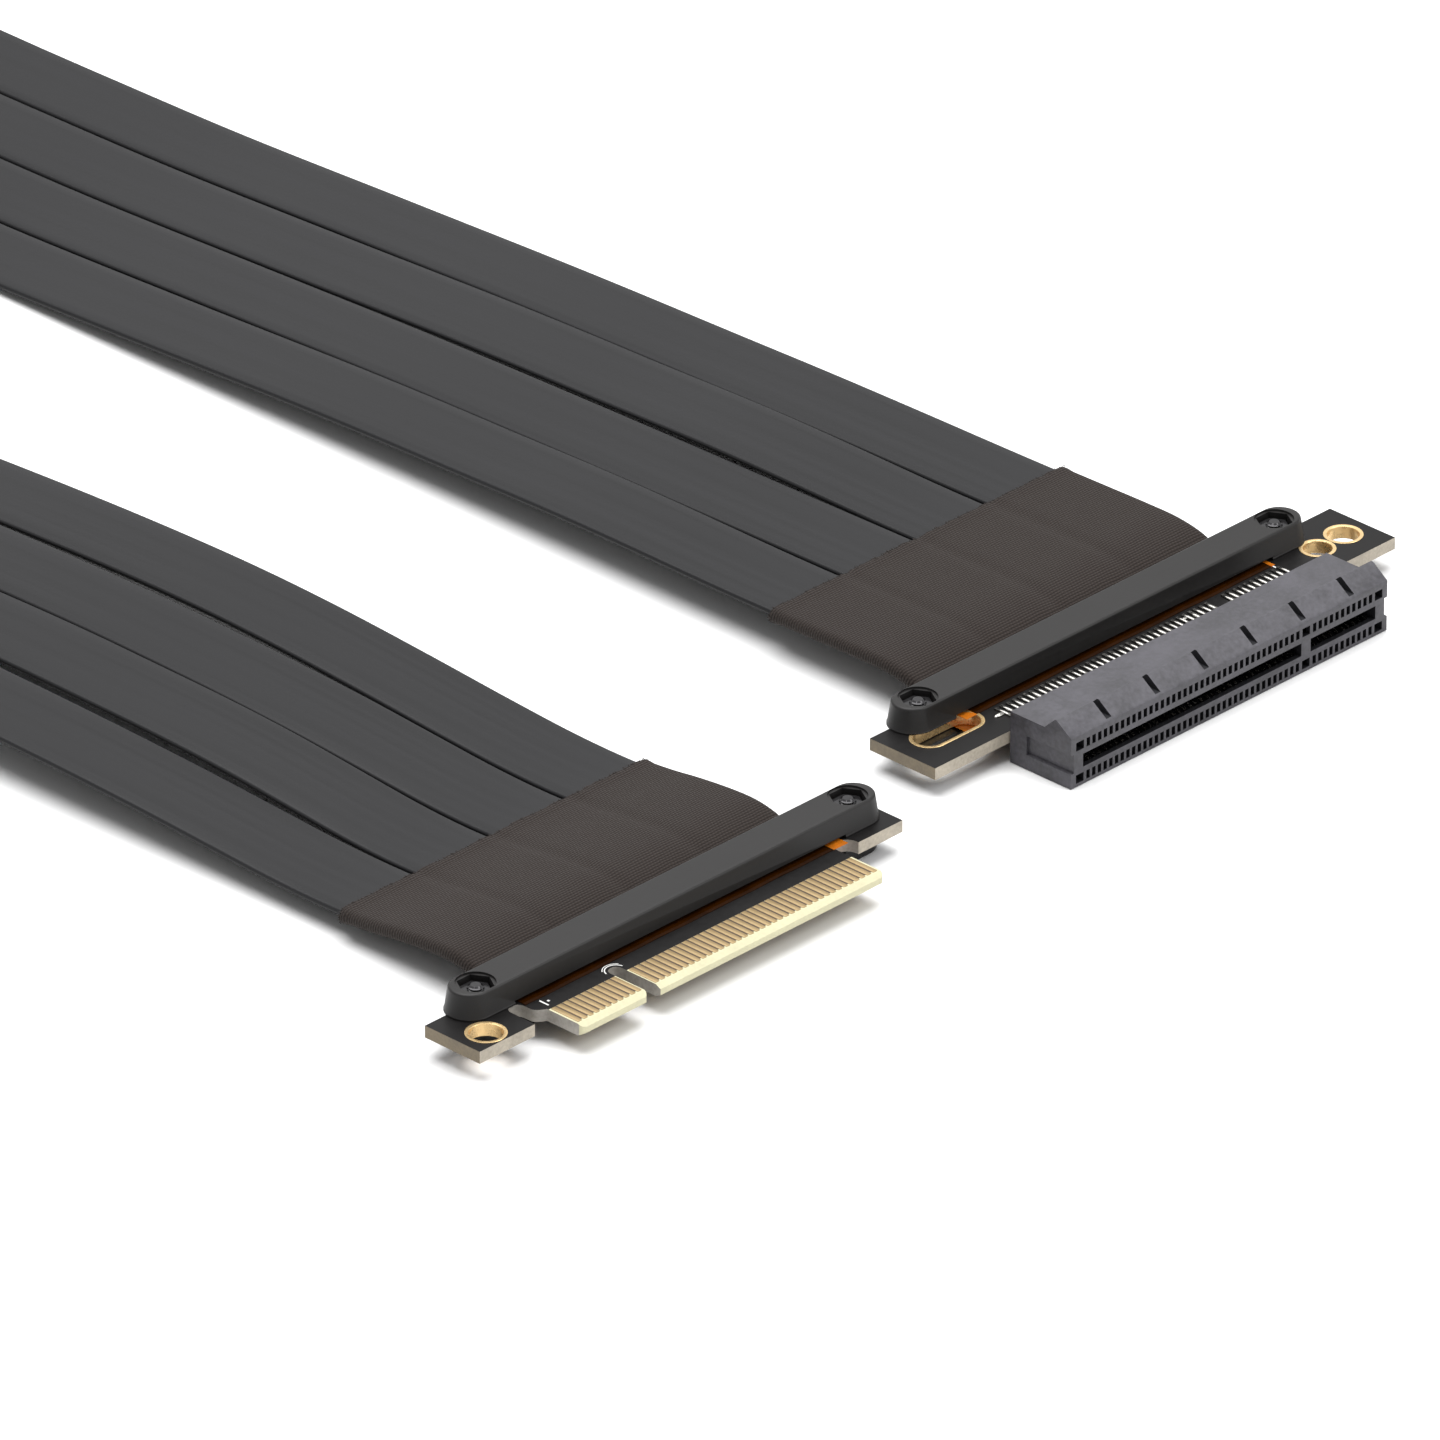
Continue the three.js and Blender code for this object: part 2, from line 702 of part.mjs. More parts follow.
// One ribbon: out from the card-edge end, across, and back to the slot end on its other side
function ribbon(index) {
  const x0 = maleClampX + ribbonOffset(index);
  const x1 = femaleClampX - ribbonOffset(index);
  const turnY = x0 + foldLine;
  const room = ribbonWidth / 2 + 3 * foldRadius;
  const topLevel = groundLevel + 2 * foldRadius;
  const out = legStations(clampSites.male, x0);
  const home = legStations(clampSites.female, x1).map((station) => ({
    ...station, across: [-1, 0, 0],
  }));
  const lying = (x, across) => ({
    centre: [x, turnY - room, groundLevel], across: [across, 0, 0], up: [0, 0, 1],
  });
  const crossing = (x) => ({ centre: [x, turnY, topLevel], across: [0, 1, 0], up: [0, 0, -1] });
  return sweep([
    ...out,
    lying(x0, 1),
    ...foldStations(x0, turnY, 1),
    crossing(x0 + room),
    crossing(x1 - room),
    ...foldStations(x1, turnY, -1).reverse(),
    lying(x1, -1),
    ...home.reverse(),
  ], flatSection(ribbonWidth / 2, ribbonHalf, ribbonShoulder));
}

function sleeve(site) {
  const within = legStations(site, site.x).filter((station, i) => (
    i > 0 && site.route[i][0] <= site.sleeveEnd
  ));
  const first = within[0];
  const last = within[within.length - 1];
  const beyond = (station, step) => ({
    ...station,
    centre: [
      station.centre[0], station.centre[1] + step * station.up[2],
      station.centre[2] - step * station.up[1],
    ],
  });
  const half = sleeveHalfWidth();
  const thick = sleeveHalfThickness();
  const outside = sweep(within, flatSection(half, thick, sleeveSide));
  const inside = sweep([beyond(first, -1), ...within, beyond(last, 1)],
    flatSection(half - sleeveSide, thick - sleeveWall, ribbonShoulder / 2));
  return cut(outside, [inside]);
}

// Slot

// Middles of the contacts, which run the other way round than on the card edge
function contactPlaces() {
  const places = [];
  for (let i = 0; i < shortRow; i += 1) places.push(femaleCentre + longEnd / 2 - i * pitch);
  for (let i = 0; i < longRow; i += 1) {
    places.push(femaleCentre + longEnd / 2 - longStart - i * pitch);
  }
  return places;
}

// The window in front of one contact
function contactCell(x) {
  const low = boardMiddle + cellOffset - cellHeight / 2;
  return box(x - cellWidth / 2, x + cellWidth / 2, housingFront - overcut,
    housingFront + lipDepth + seam, low, low + cellHeight);
}

// The room behind the windows, open to the slot, where one row of contacts springs
function springRoom() {
  const places = contactPlaces();
  return box(places[places.length - 1] - cellWidth / 2, places[0] + cellWidth / 2,
    housingFront + lipDepth, housingFront + channelDepth,
    boardMiddle + slotHeight / 4, boardMiddle + cellOffset + cellHeight / 2);
}

// The slit in the rear wall that lets one row of tails out
function tailSlit() {
  const places = contactPlaces();
  const root = boardTop + tailHeight;
  return box(places[places.length - 1] - cellWidth / 2, places[0] + cellWidth / 2,
    housingFront + channelDepth - seam, housingRear + overcut,
    root - contactThickness / 2 - tailClearance - springDrop,
    root + contactThickness / 2 + tailClearance);
}

function bigCells() {
  const right = femaleCentre + longEnd / 2 + bigCellStep;
  const left = femaleCentre - longEnd / 2 - bigCellStep;
  const low = boardMiddle + cellOffset - cellHeight / 2;
  return [left, femaleKey, right].map((x) => box(x - bigCellWidth / 2, x + bigCellWidth / 2,
    housingFront - overcut, housingFront + bigCellDepth, low, low + cellHeight));
}

function slotVoids() {
  const half = longEnd / 2 + slotMargin;
  const z0 = boardMiddle - slotHeight / 2;
  const z1 = boardMiddle + slotHeight / 2;
  const y0 = housingFront - overcut;
  const y1 = housingFront + slotDepth;
  return [
    box(femaleCentre - half, femaleKey - keyWall / 2, y0, y1, z0, z1),
    box(femaleKey + keyWall / 2, femaleCentre + half, y0, y1, z0, z1),
  ];
}

function slotHousing() {
  const x0 = femaleCentre - housingLength / 2;
  const x1 = femaleCentre + housingLength / 2;
  const ridge = plateau + ridgeHeight;
  const crest = housingFront + facetDepth;
  const body = barAlongX([
    [housingFront, housingBottom], [housingRear, housingBottom], [housingRear, plateau],
    [crest + rampFoot + rampLength, plateau], [crest + rampFoot, ridge], [crest, ridge],
    [housingFront, ridge - facetDrop],
  ], x0, x1);
  const cutters = slotVoids();
  for (let i = 0; i < slitCount; i += 1) {
    const x = femaleCentre + slitOffset + (i - (slitCount - 1) / 2) * slitSpacing;
    cutters.push(box(x - slitWidth / 2, x + slitWidth / 2, housingFront - overcut,
      crest + rampFoot + rampLength + overcut, plateau + slitFloor, ridge + overcut));
  }
  const recess = [housingFront - overcut, housingFront + endRecessLength,
    housingBottom + endRecessFoot, housingBottom + endRecessFoot + endRecessHeight];
  cutters.push(box(x0 - overcut, x0 + endRecessDepth, ...recess));
  cutters.push(box(x1 - endRecessDepth, x1 + overcut, ...recess));
  const upper = [...contactPlaces().map(contactCell), springRoom(), tailSlit(), ...bigCells()];
  cutters.push(...upper, ...upper.map(flipped));
  return cut(body, cutters);
}

// One row of spring contacts, joined by the bridge inside the housing's rear wall
function contactRow() {
  const root = boardTop + tailHeight;
  const half = contactThickness / 2;
  const line = [
    [femaleFront + tailReach, boardTop + half], [femaleFront + tailFoot, boardTop + half],
    [femaleFront + boardClearance, root], [housingFront + contactSetback, boardMiddle + contactRest],
  ];
  const section = [
    ...line.map(([y, z]) => [y, z - half]),
    ...line.map(([y, z]) => [y, z + half]).reverse(),
  ];
  const places = contactPlaces();
  const pieces = places.map((x) => barAlongX(section, x - contactWidth / 2,
    x + contactWidth / 2));
  const y1 = housingRear - carrierSetback;
  pieces.push(box(places[places.length - 1] - contactWidth / 2, places[0] + contactWidth / 2,
    y1 - carrierDepth, y1, root - springDrop, root));
  return join(pieces);
}

// The pieces, end by end

addPiece('male_board', maleBoard(), 'board');
addPiece('male_contacts_top_short', contactStrip(0, shortRow), 'gold');
addPiece('male_contacts_top_long', contactStrip(longStart, longRow), 'gold');
addPiece('male_contacts_bottom_short', flipped(contactStrip(0, shortRow)), 'gold');
addPiece('male_contacts_bottom_long', flipped(contactStrip(longStart, longRow)), 'gold');
addPiece('male_plated_hole', platedHole(maleHole, maleHoleRadius), 'gold');

addPiece('female_board', femaleBoard(), 'board');
addPiece('female_plated_slot', platedSlot(), 'gold');
addPiece('female_plated_hole_inner', platedHole(innerHole, innerHoleRadius), 'gold');
addPiece('female_plated_hole_outer', platedHole(outerHole, outerHoleRadius), 'gold');
addPiece('slot_housing', slotHousing(), 'housing');
addPiece('slot_contacts_top', contactRow(), 'tin');
addPiece('slot_contacts_bottom', flipped(contactRow()), 'tin');

for (const [end, site] of Object.entries(clampSites)) {
  addPiece(`${end}_upper_clamp`, upperClamp(site), 'clamp');
  addPiece(`${end}_lower_clamp`, lowerClamp(site), 'clamp');
  addPiece(`${end}_screw_left`, screw(site, -1), 'steel');
  addPiece(`${end}_screw_right`, screw(site, 1), 'steel');
  addPiece(`${end}_nut_left`, nut(site, -1), 'steel');
  addPiece(`${end}_nut_right`, nut(site, 1), 'steel');
  addPiece(`${end}_tape_top`, film(site), 'film');
  addPiece(`${end}_tape_bottom`, flipped(film(site)), 'film');
  addPiece(`${end}_wires_top`, wires(site), 'tin');
  addPiece(`${end}_wires_bottom`, flipped(wires(site)), 'tin');
  addPiece(`${end}_sleeve`, sleeve(site), 'cloth');
}

// The origin stands under the middle of all that is not cable
const bounds = new THREE.Box3().setFromObject(assembly);
const middle = bounds.getCenter(new THREE.Vector3());
assembly.position.set(-middle.x, -middle.y, -bounds.min.z);

for (let index = 0; index < ribbonCount; index += 1) {
  addPiece(`ribbon_${index + 1}`, ribbon(index), 'ribbon');
}

export default assembly;
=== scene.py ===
"""Looks of a riser cable: two boards in screwed clamps, joined by four flat ribbons."""

import math
import random

import bmesh
import bpy
from bpy.props import FloatProperty, FloatVectorProperty, PointerProperty
from mathutils import Matrix, Vector


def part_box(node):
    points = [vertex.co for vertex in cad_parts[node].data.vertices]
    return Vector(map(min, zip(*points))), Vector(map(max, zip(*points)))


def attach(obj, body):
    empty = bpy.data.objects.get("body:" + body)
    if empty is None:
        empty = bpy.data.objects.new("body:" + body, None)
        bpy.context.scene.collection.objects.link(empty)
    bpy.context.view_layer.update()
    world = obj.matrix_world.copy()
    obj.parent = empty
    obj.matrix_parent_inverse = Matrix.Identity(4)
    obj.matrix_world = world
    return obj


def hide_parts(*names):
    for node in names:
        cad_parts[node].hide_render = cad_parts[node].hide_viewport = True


bl_info = {
    "name": "Riser cable",
    "version": (1, 0, 0),
    "blender": (4, 5, 0),
    "location": "3D View > Sidebar > Riser",
    "description": "Builds the boards, clamps, slot, sleeves and ribbons of a riser cable",
    "category": "Object",
}

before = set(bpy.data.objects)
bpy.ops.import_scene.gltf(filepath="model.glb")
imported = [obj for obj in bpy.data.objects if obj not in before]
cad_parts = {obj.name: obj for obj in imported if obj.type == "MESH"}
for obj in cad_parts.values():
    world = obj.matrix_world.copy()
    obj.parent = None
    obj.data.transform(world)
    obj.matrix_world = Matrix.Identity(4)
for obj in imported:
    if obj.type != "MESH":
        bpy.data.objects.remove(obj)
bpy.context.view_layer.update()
MM = 0.001
BODY = "root"

# Places are in millimetres from the first contact of the card edge, as in the CAD source
FINGER_WIDTH = 0.7
FIRST_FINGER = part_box("male_contacts_top_short")[0]
ORIGIN = Vector((FIRST_FINGER[0] + FINGER_WIDTH / 2 * MM, FIRST_FINGER[1], 0.0))

BOARD_BOTTOM = 2.5
BOARD_TOP = 4.1
BOARD_MIDDLE = 3.3
SHORT_ROW = 11
LONG_ROW = 38
LONG_START = 13.0
LAST_FINGER = 50.0
FEMALE_CENTRE = 114.1
CLAMP_HALF = 31.5
SITES = {
    "male": {"x": 25.5, "back": 12.3, "sleeve_end": 26.9},
    "female": {"x": 112.1, "back": 23.2, "sleeve_end": 28.8},
}
ROUTES = {
    "male": [
        (1.2, 3.3), (1.7, 3.3), (3.2, 3.35), (5.6, 4.2), (8.7, 4.7), (12.7, 4.6), (17.7, 4.1),
        (22.0, 3.5), (26.9, 3.05), (32.7, 2.9), (39.7, 3.05), (47.7, 3.5), (62.7, 4.4),
        (78.7, 5.0), (97.7, 5.2), (122.7, 4.6), (150.7, 3.2), (177.7, 1.7), (202.7, 0.7),
        (215.7, 0.5),
    ],
    "female": [
        (1.2, 3.3), (1.7, 3.3), (3.2, 3.4), (5.8, 4.5), (9.8, 5.15), (14.8, 5.2), (20.8, 5.1),
        (28.8, 4.95), (38.8, 4.8), (51.8, 4.65), (74.8, 4.35), (106.8, 3.6), (140.8, 2.2),
        (170.8, 1.0), (195.8, 0.6), (206.8, 0.5),
    ],
}
RIBBON_PITCH = 12.8
RIBBON_COUNT = 4
FOLD_LINE = 250.5
FOLD_RADIUS = 0.6
GROUND_LEVEL = 0.5
CLAMP_SETBACK = 1.05


class RiserSizes(bpy.types.PropertyGroup):
    """Sizes that a user would change"""

    ribbon_width: FloatProperty(
        name="Ribbon width", description="Across one flat ribbon", default=12.4 * MM, unit="LENGTH"
    )
    ribbon_thickness: FloatProperty(
        name="Ribbon thickness", description="Through one flat ribbon", default=0.9 * MM,
        unit="LENGTH",
    )
    ribbon_step: FloatProperty(
        name="Ribbon step", description="Spacing of the cross rows along a ribbon",
        default=2.5 * MM, unit="LENGTH",
    )
    sleeve_wall: FloatProperty(
        name="Sleeve wall", description="Thickness of the woven tape", default=0.28 * MM,
        unit="LENGTH",
    )
    clamp_fillet: FloatProperty(
        name="Clamp fillet", description="Rounding of the clamps' outer edges",
        default=0.34 * MM, unit="LENGTH",
    )
    mould_edge: FloatProperty(
        name="Mould edge", description="Rounding of the slot housing's edges",
        default=0.07 * MM, unit="LENGTH",
    )
    lead_width: FloatProperty(
        name="Lead width", description="Across one lead of the slot", default=0.44 * MM,
        unit="LENGTH",
    )
    rib_pitch: FloatProperty(
        name="Rib pitch", description="Spacing of the ribs in the woven sleeve",
        default=0.4 * MM, unit="LENGTH",
    )


def colour(name, description, value):
    return FloatVectorProperty(
        name=name, description=description, default=value, subtype="COLOR", size=3,
        min=0.0, max=1.0,
    )


class RiserColours(bpy.types.PropertyGroup):
    """Colours that a user would change, as linear values"""

    jacket: colour("Jacket", "Ribbon jacket", (0.011, 0.011, 0.012))
    cloth: colour("Cloth", "Woven sleeve", (0.023, 0.0178, 0.0155))
    clamp: colour("Clamp", "Moulded clamp bars", (0.0115, 0.0108, 0.0106))
    housing: colour("Housing", "Slot housing", (0.050, 0.048, 0.056))
    mask: colour("Solder mask", "Lacquer on the boards", (0.0065, 0.006, 0.006))
    laminate: colour("Laminate", "Cut edges of the boards", (0.40, 0.355, 0.285))
    gold: colour("Gold", "Plated contacts and holes", (0.33, 0.235, 0.115))
    amber: colour("Film", "Film over the solder joints", (0.72, 0.20, 0.012))
    tin: colour("Tin", "Leads and solder", (0.34, 0.33, 0.31))
    steel: colour("Steel", "Blackened screws and nuts", (0.035, 0.034, 0.036))
    print_white: colour("Print", "White marks on the board", (0.80, 0.80, 0.78))
    floor: colour("Floor", "Floor under the cable", (0.93, 0.93, 0.93))


def place(x, y, z):
    """A point given in the source's millimetres, in the frame's metres"""
    return Vector((ORIGIN.x + x * MM, ORIGIN.y + y * MM, z * MM))


# Shader groups


def new_group(name, inputs, outputs):
    group = bpy.data.node_groups.new(name, "ShaderNodeTree")
    for title, kind, value in inputs:
        socket = group.interface.new_socket(name=title, in_out="INPUT", socket_type=kind)
        socket.default_value = value
    for title, kind in outputs:
        group.interface.new_socket(name=title, in_out="OUTPUT", socket_type=kind)
    return group, group.nodes.new("NodeGroupInput"), group.nodes.new("NodeGroupOutput")


def maths(tree, operation, a, b=None, clamp=False):
    node = tree.nodes.new("ShaderNodeMath")
    node.operation = operation
    node.use_clamp = clamp
    for socket, value in zip(node.inputs, (a, b)):
        if value is None:
            continue
        if isinstance(value, bpy.types.NodeSocket):
            tree.links.new(value, socket)
        else:
            socket.default_value = value
    return node.outputs[0]


def noise(tree, vector, scale, detail=3.0):
    node = tree.nodes.new("ShaderNodeTexNoise")
    node.inputs["Detail"].default_value = detail
    tree.links.new(vector, node.inputs["Vector"])
    if isinstance(scale, bpy.types.NodeSocket):
        tree.links.new(scale, node.inputs["Scale"])
    else:
        node.inputs["Scale"].default_value = scale
    return node.outputs["Fac"]


def mixed(tree, share, a, b):
    node = tree.nodes.new("ShaderNodeMix")
    node.data_type = "RGBA"
    tree.links.new(share, node.inputs["Factor"])
    for socket, value in ((node.inputs["A"], a), (node.inputs["B"], b)):
        if isinstance(value, bpy.types.NodeSocket):
            tree.links.new(value, socket)
        else:
            socket.default_value = (*value, 1.0) if len(value) == 3 else value
    return node.outputs["Result"]


def make_grain_group():
    """Fine mould or lacquer grain with slow patches, on the object's own coordinates"""
    group, entry, leave = new_group(
        "grain",
        [("Grain Scale", "NodeSocketFloat", 900.0), ("Patch Scale", "NodeSocketFloat", 60.0),
         ("Contrast", "NodeSocketFloat", 0.3)],
        [("Tone", "NodeSocketFloat"), ("Height", "NodeSocketFloat")],
    )
    where = group.nodes.new("ShaderNodeTexCoord").outputs["Object"]
    fine = noise(group, where, entry.outputs["Grain Scale"], 4.0)
    slow = noise(group, where, entry.outputs["Patch Scale"], 2.0)
    both = maths(group, "ADD", maths(group, "MULTIPLY", fine, 0.5), maths(group, "MULTIPLY", slow, 0.5))
    centred = maths(group, "SUBTRACT", both, 0.5)
    swing = maths(group, "MULTIPLY", centred, entry.outputs["Contrast"])
    tone = maths(group, "ADD", swing, 0.5, clamp=True)
    group.links.new(tone, leave.inputs["Tone"])
    group.links.new(fine, leave.inputs["Height"])
    return group


def make_streak_group():
    """Streaks along one direction of the piece's own UV map, as on drawn or extruded stock"""
    group, entry, leave = new_group(
        "streaks",
        [("Across", "NodeSocketFloat", 2.0), ("Along", "NodeSocketFloat", 0.03),
         ("Contrast", "NodeSocketFloat", 0.3)],
        [("Tone", "NodeSocketFloat"), ("Height", "NodeSocketFloat")],
    )
    where = group.nodes.new("ShaderNodeUVMap")
    where.uv_map = "strip"
    parts = group.nodes.new("ShaderNodeSeparateXYZ")
    group.links.new(where.outputs["UV"], parts.inputs[0])
    joined = group.nodes.new("ShaderNodeCombineXYZ")
    group.links.new(maths(group, "MULTIPLY", parts.outputs["X"], entry.outputs["Across"]),
                    joined.inputs["X"])
    group.links.new(maths(group, "MULTIPLY", parts.outputs["Y"], entry.outputs["Along"]),
                    joined.inputs["Y"])
    lines = noise(group, joined.outputs[0], 1.0, 3.0)
    swing = maths(group, "MULTIPLY", maths(group, "SUBTRACT", lines, 0.5), entry.outputs["Contrast"])
    group.links.new(maths(group, "ADD", swing, 0.5, clamp=True), leave.inputs["Tone"])
    group.links.new(lines, leave.inputs["Height"])
    return group


def make_weave_group():
    """Ribs across the tape with threads bound over them, from a UV map in millimetres, and a tone that
    paints shade into the hollows
    """
    group, entry, leave = new_group(
        "weave",
        [("Rib Pitch", "NodeSocketFloat", 0.5), ("Thread Pitch", "NodeSocketFloat", 0.62)],
        [("Height", "NodeSocketFloat"), ("Tone", "NodeSocketFloat")],
    )
    where = group.nodes.new("ShaderNodeUVMap")
    where.uv_map = "strip"
    parts = group.nodes.new("ShaderNodeSeparateXYZ")
    group.links.new(where.outputs["UV"], parts.inputs[0])
    turn = 2 * math.pi
    wobble = maths(group, "MULTIPLY", noise(group, where.outputs["UV"], 0.35, 2.0), 0.9)
    rows = maths(group, "ADD", maths(group, "DIVIDE", parts.outputs["Y"], entry.outputs["Rib Pitch"]),
                 wobble)
    rib = maths(group, "SINE", maths(group, "MULTIPLY", rows, turn))
    half = maths(group, "MULTIPLY", maths(group, "FLOOR", rows), 0.5)
    columns = maths(group, "ADD", maths(group, "DIVIDE", parts.outputs["X"],
                                        entry.outputs["Thread Pitch"]), half)
    thread = maths(group, "SINE", maths(group, "MULTIPLY", columns, turn))
    ribs = maths(group, "MULTIPLY_ADD", rib, 0.34)
    ribs.node.inputs[2].default_value = 0.5
    height = maths(group, "ADD", ribs, maths(group, "MULTIPLY", thread, 0.16), clamp=True)
    group.links.new(height, leave.inputs["Height"])
    fuzz = maths(group, "MULTIPLY", noise(group, where.outputs["UV"], 5.0, 3.0), 0.35)
    # Painted shade: the tone follows the height, darker in the hollows between ribs and threads, with
    # random fuzz on top
    tone = maths(group, "ADD", maths(group, "MULTIPLY", height, 0.75), fuzz, clamp=True)
    group.links.new(tone, leave.inputs["Tone"])
    return group


def shader_group(name):
    makers = {"grain": make_grain_group, "streaks": make_streak_group, "weave": make_weave_group}
    return bpy.data.node_groups.get(name) or makers[name]()


def new_material(name, roughness, metallic=0.0, coat=0.0, specular=0.5):
    material = bpy.data.materials.new(name)
    material.use_nodes = True
    shader = material.node_tree.nodes["Principled BSDF"]
    shader.inputs["Roughness"].default_value = roughness
    shader.inputs["Metallic"].default_value = metallic
    shader.inputs["Coat Weight"].default_value = coat
    shader.inputs["Specular IOR Level"].default_value = specular
    return material, material.node_tree, shader


def placed_group(tree, name, **values):
    node = tree.nodes.new("ShaderNodeGroup")
    node.node_tree = shader_group(name)
    for title, value in values.items():
        node.inputs[title.replace("_", " ").title()].default_value = value
    return node


def bump(tree, shader, height, strength, depth):
    node = tree.nodes.new("ShaderNodeBump")
    node.inputs["Strength"].default_value = strength
    node.inputs["Distance"].default_value = depth * MM
    tree.links.new(height, node.inputs["Height"])
    tree.links.new(node.outputs["Normal"], shader.inputs["Normal"])


def shade(value, factor):
    return tuple(min(1.0, part * factor) for part in value)


def vary(tree, shader, tone, base, low, high):
    """Base colour between two shades of one colour, and a roughness that follows it"""
    tree.links.new(mixed(tree, tone, shade(base, low), shade(base, high)),
                   shader.inputs["Base Color"])
    rough = shader.inputs["Roughness"].default_value
    spread = maths(tree, "MULTIPLY", maths(tree, "SUBTRACT", tone, 0.5), 0.16)
    tree.links.new(maths(tree, "ADD", spread, rough, clamp=True), shader.inputs["Roughness"])


def grained(name, base, roughness, grain, patch, contrast, low, high, depth, strength=0.3,
            metallic=0.0, coat=0.0, specular=0.5):
    if name in bpy.data.materials:
        return bpy.data.materials[name]
    material, tree, shader = new_material(name, roughness, metallic, coat, specular)
    group = placed_group(tree, "grain", grain_scale=grain, patch_scale=patch, contrast=contrast)
    vary(tree, shader, group.outputs["Tone"], base, low, high)
    bump(tree, shader, group.outputs["Height"], strength, depth)
    return material


def colours():
    return bpy.context.scene.riser_colours


def clamp_plastic():
    return grained("clamp_plastic", tuple(colours().clamp), 0.4, 1500.0, 70.0, 1.4, 0.75, 1.35,
                   0.012, 0.35, specular=0.24)


def housing_plastic():
    return grained("housing_plastic", tuple(colours().housing), 0.48, 1700.0, 240.0, 3.6, 0.66,
                   1.45, 0.025, 0.6, specular=0.42)


def solder_mask():
    return grained("solder_mask", tuple(colours().mask), 0.4, 1200.0, 110.0, 1.8, 0.6, 1.6,
                   0.008, 0.3, specular=0.12)


def cut_laminate():
    return grained("cut_laminate", tuple(colours().laminate), 0.62, 2600.0, 420.0, 2.4, 0.72,
                   1.22, 0.03, 0.6)


def bevel_laminate():
    return grained("bevel_laminate", (0.58, 0.55, 0.36), 0.5, 2200.0, 300.0, 1.6, 0.84, 1.12,
                   0.02, 0.4)


def routed_laminate():
    return grained("routed_laminate", (0.30, 0.28, 0.25), 0.6, 2400.0, 500.0, 2.4, 0.7, 1.3,
                   0.03, 0.5)


# Painted shade: a darker copy of the cut laminate for the board edges that face along X
def side_laminate():
    return grained("side_laminate", (0.17, 0.135, 0.085), 0.6, 2600.0, 420.0, 2.4, 0.7, 1.25,
                   0.03, 0.5)


# Painted shade: dark brown for the strips in the gaps between the gold fingers
def groove_laminate():
    return grained("groove_laminate", (0.06, 0.036, 0.015), 0.6, 2200.0, 300.0, 1.6, 0.7, 1.3,
                   0.008, 0.3)


# Painted shade: a near-black copy of the housing plastic for the faces inside the slits, the cells and
# the slot
def housing_recess():
    return grained("housing_recess", (0.010, 0.010, 0.012), 0.6, 1700.0, 240.0, 2.0, 0.7, 1.4,
                   0.02, 0.5, specular=0.15)


def gold_plating():
    return grained("gold_plating", tuple(colours().gold), 0.45, 1500.0, 160.0, 1.2, 0.88, 1.1,
                   0.003, 0.15, metallic=0.5, specular=0.4)


def tinned_lead():
    return grained("tinned_lead", tuple(colours().tin), 0.22, 1800.0, 500.0, 1.8, 0.7, 1.2,
                   0.008, 0.4, metallic=1.0)


def black_steel():
    return grained("black_steel", tuple(colours().steel), 0.16, 2000.0, 500.0, 1.6, 0.7, 1.5,
                   0.01, 0.3, metallic=0.6)


def white_print():
    return grained("white_print", tuple(colours().print_white), 0.5, 3000.0, 900.0, 1.6, 0.8,
                   1.1, 0.006, 0.3)


def jacket():
    if "jacket" in bpy.data.materials:
        return bpy.data.materials["jacket"]
    material, tree, shader = new_material("jacket", 0.4, specular=0.17)
    group = placed_group(tree, "streaks", across=0.9, along=0.012, contrast=1.6)
    vary(tree, shader, group.outputs["Tone"], tuple(colours().jacket), 0.72, 1.4)
    grain = placed_group(tree, "grain", grain_scale=1300.0, patch_scale=40.0, contrast=1.0)
    height = maths(tree, "ADD", maths(tree, "MULTIPLY", group.outputs["Height"], 3.0),
                   grain.outputs["Height"])
    bump(tree, shader, height, 0.25, 0.012)
    return material


def woven_cloth():
    if "woven_cloth" in bpy.data.materials:
        return bpy.data.materials["woven_cloth"]
    material, tree, shader = new_material("woven_cloth", 0.86, specular=0.12)
    shader.inputs["Sheen Weight"].default_value = 0.1
    shader.inputs["Sheen Roughness"].default_value = 0.45
    pitch = bpy.context.scene.riser_sizes.rib_pitch / MM
    group = placed_group(tree, "weave", rib_pitch=pitch, thread_pitch=pitch * 1.24)
    base = tuple(colours().cloth)
    # Colour runs from the painted shade in the hollows to the light rib tops
    tree.links.new(mixed(tree, group.outputs["Tone"], shade(base, 0.28), shade(base, 1.7)),
                   shader.inputs["Base Color"])
    bump(tree, shader, group.outputs["Height"], 0.8, 0.11)
    return material


def clear_film(name, base, transmission):
    if name in bpy.data.materials:
        return bpy.data.materials[name]
    material, tree, shader = new_material(name, 0.16, coat=0.2, specular=0.3)
    shader.inputs["Transmission Weight"].default_value = transmission
    shader.inputs["IOR"].default_value = 1.3
    group = placed_group(tree, "grain", grain_scale=500.0, patch_scale=160.0, contrast=1.8)
    tree.links.new(mixed(tree, group.outputs["Tone"], shade(base, 0.5), shade(base, 1.5)),
                   shader.inputs["Base Color"])
    bump(tree, shader, group.outputs["Height"], 0.3, 0.02)
    return material


def amber_film():
    return clear_film("amber_film", tuple(colours().amber), 0.35)


def dark_film():
    """The same film where it lies flat on the black lacquer"""
    return clear_film("dark_film", shade(colours().amber, 0.032), 0.1)


# Mesh helpers


def finish_piece(name, bm, materials, replaced=(), crease=35.0):
    mesh = bpy.data.meshes.new(name)
    bm.to_mesh(mesh)
    bm.free()
    for material in materials:
        mesh.materials.append(material)
    mesh.shade_smooth()
    mesh.set_sharp_from_angle(angle=math.radians(crease))
    piece = bpy.data.objects.new(name, mesh)
    bpy.context.scene.collection.objects.link(piece)
    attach(piece, BODY)
    if replaced:
        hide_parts(*replaced)
    return piece


def first_ring(bm, points):
    ring = [bm.verts.new(point) for point in points]
    for a, b in zip(ring, ring[1:] + ring[:1]):
        bm.edges.new((a, b))
    return ring


def ring_edges(bm, ring):
    return [bm.edges.get((a, b)) for a, b in zip(ring, ring[1:] + ring[:1])]


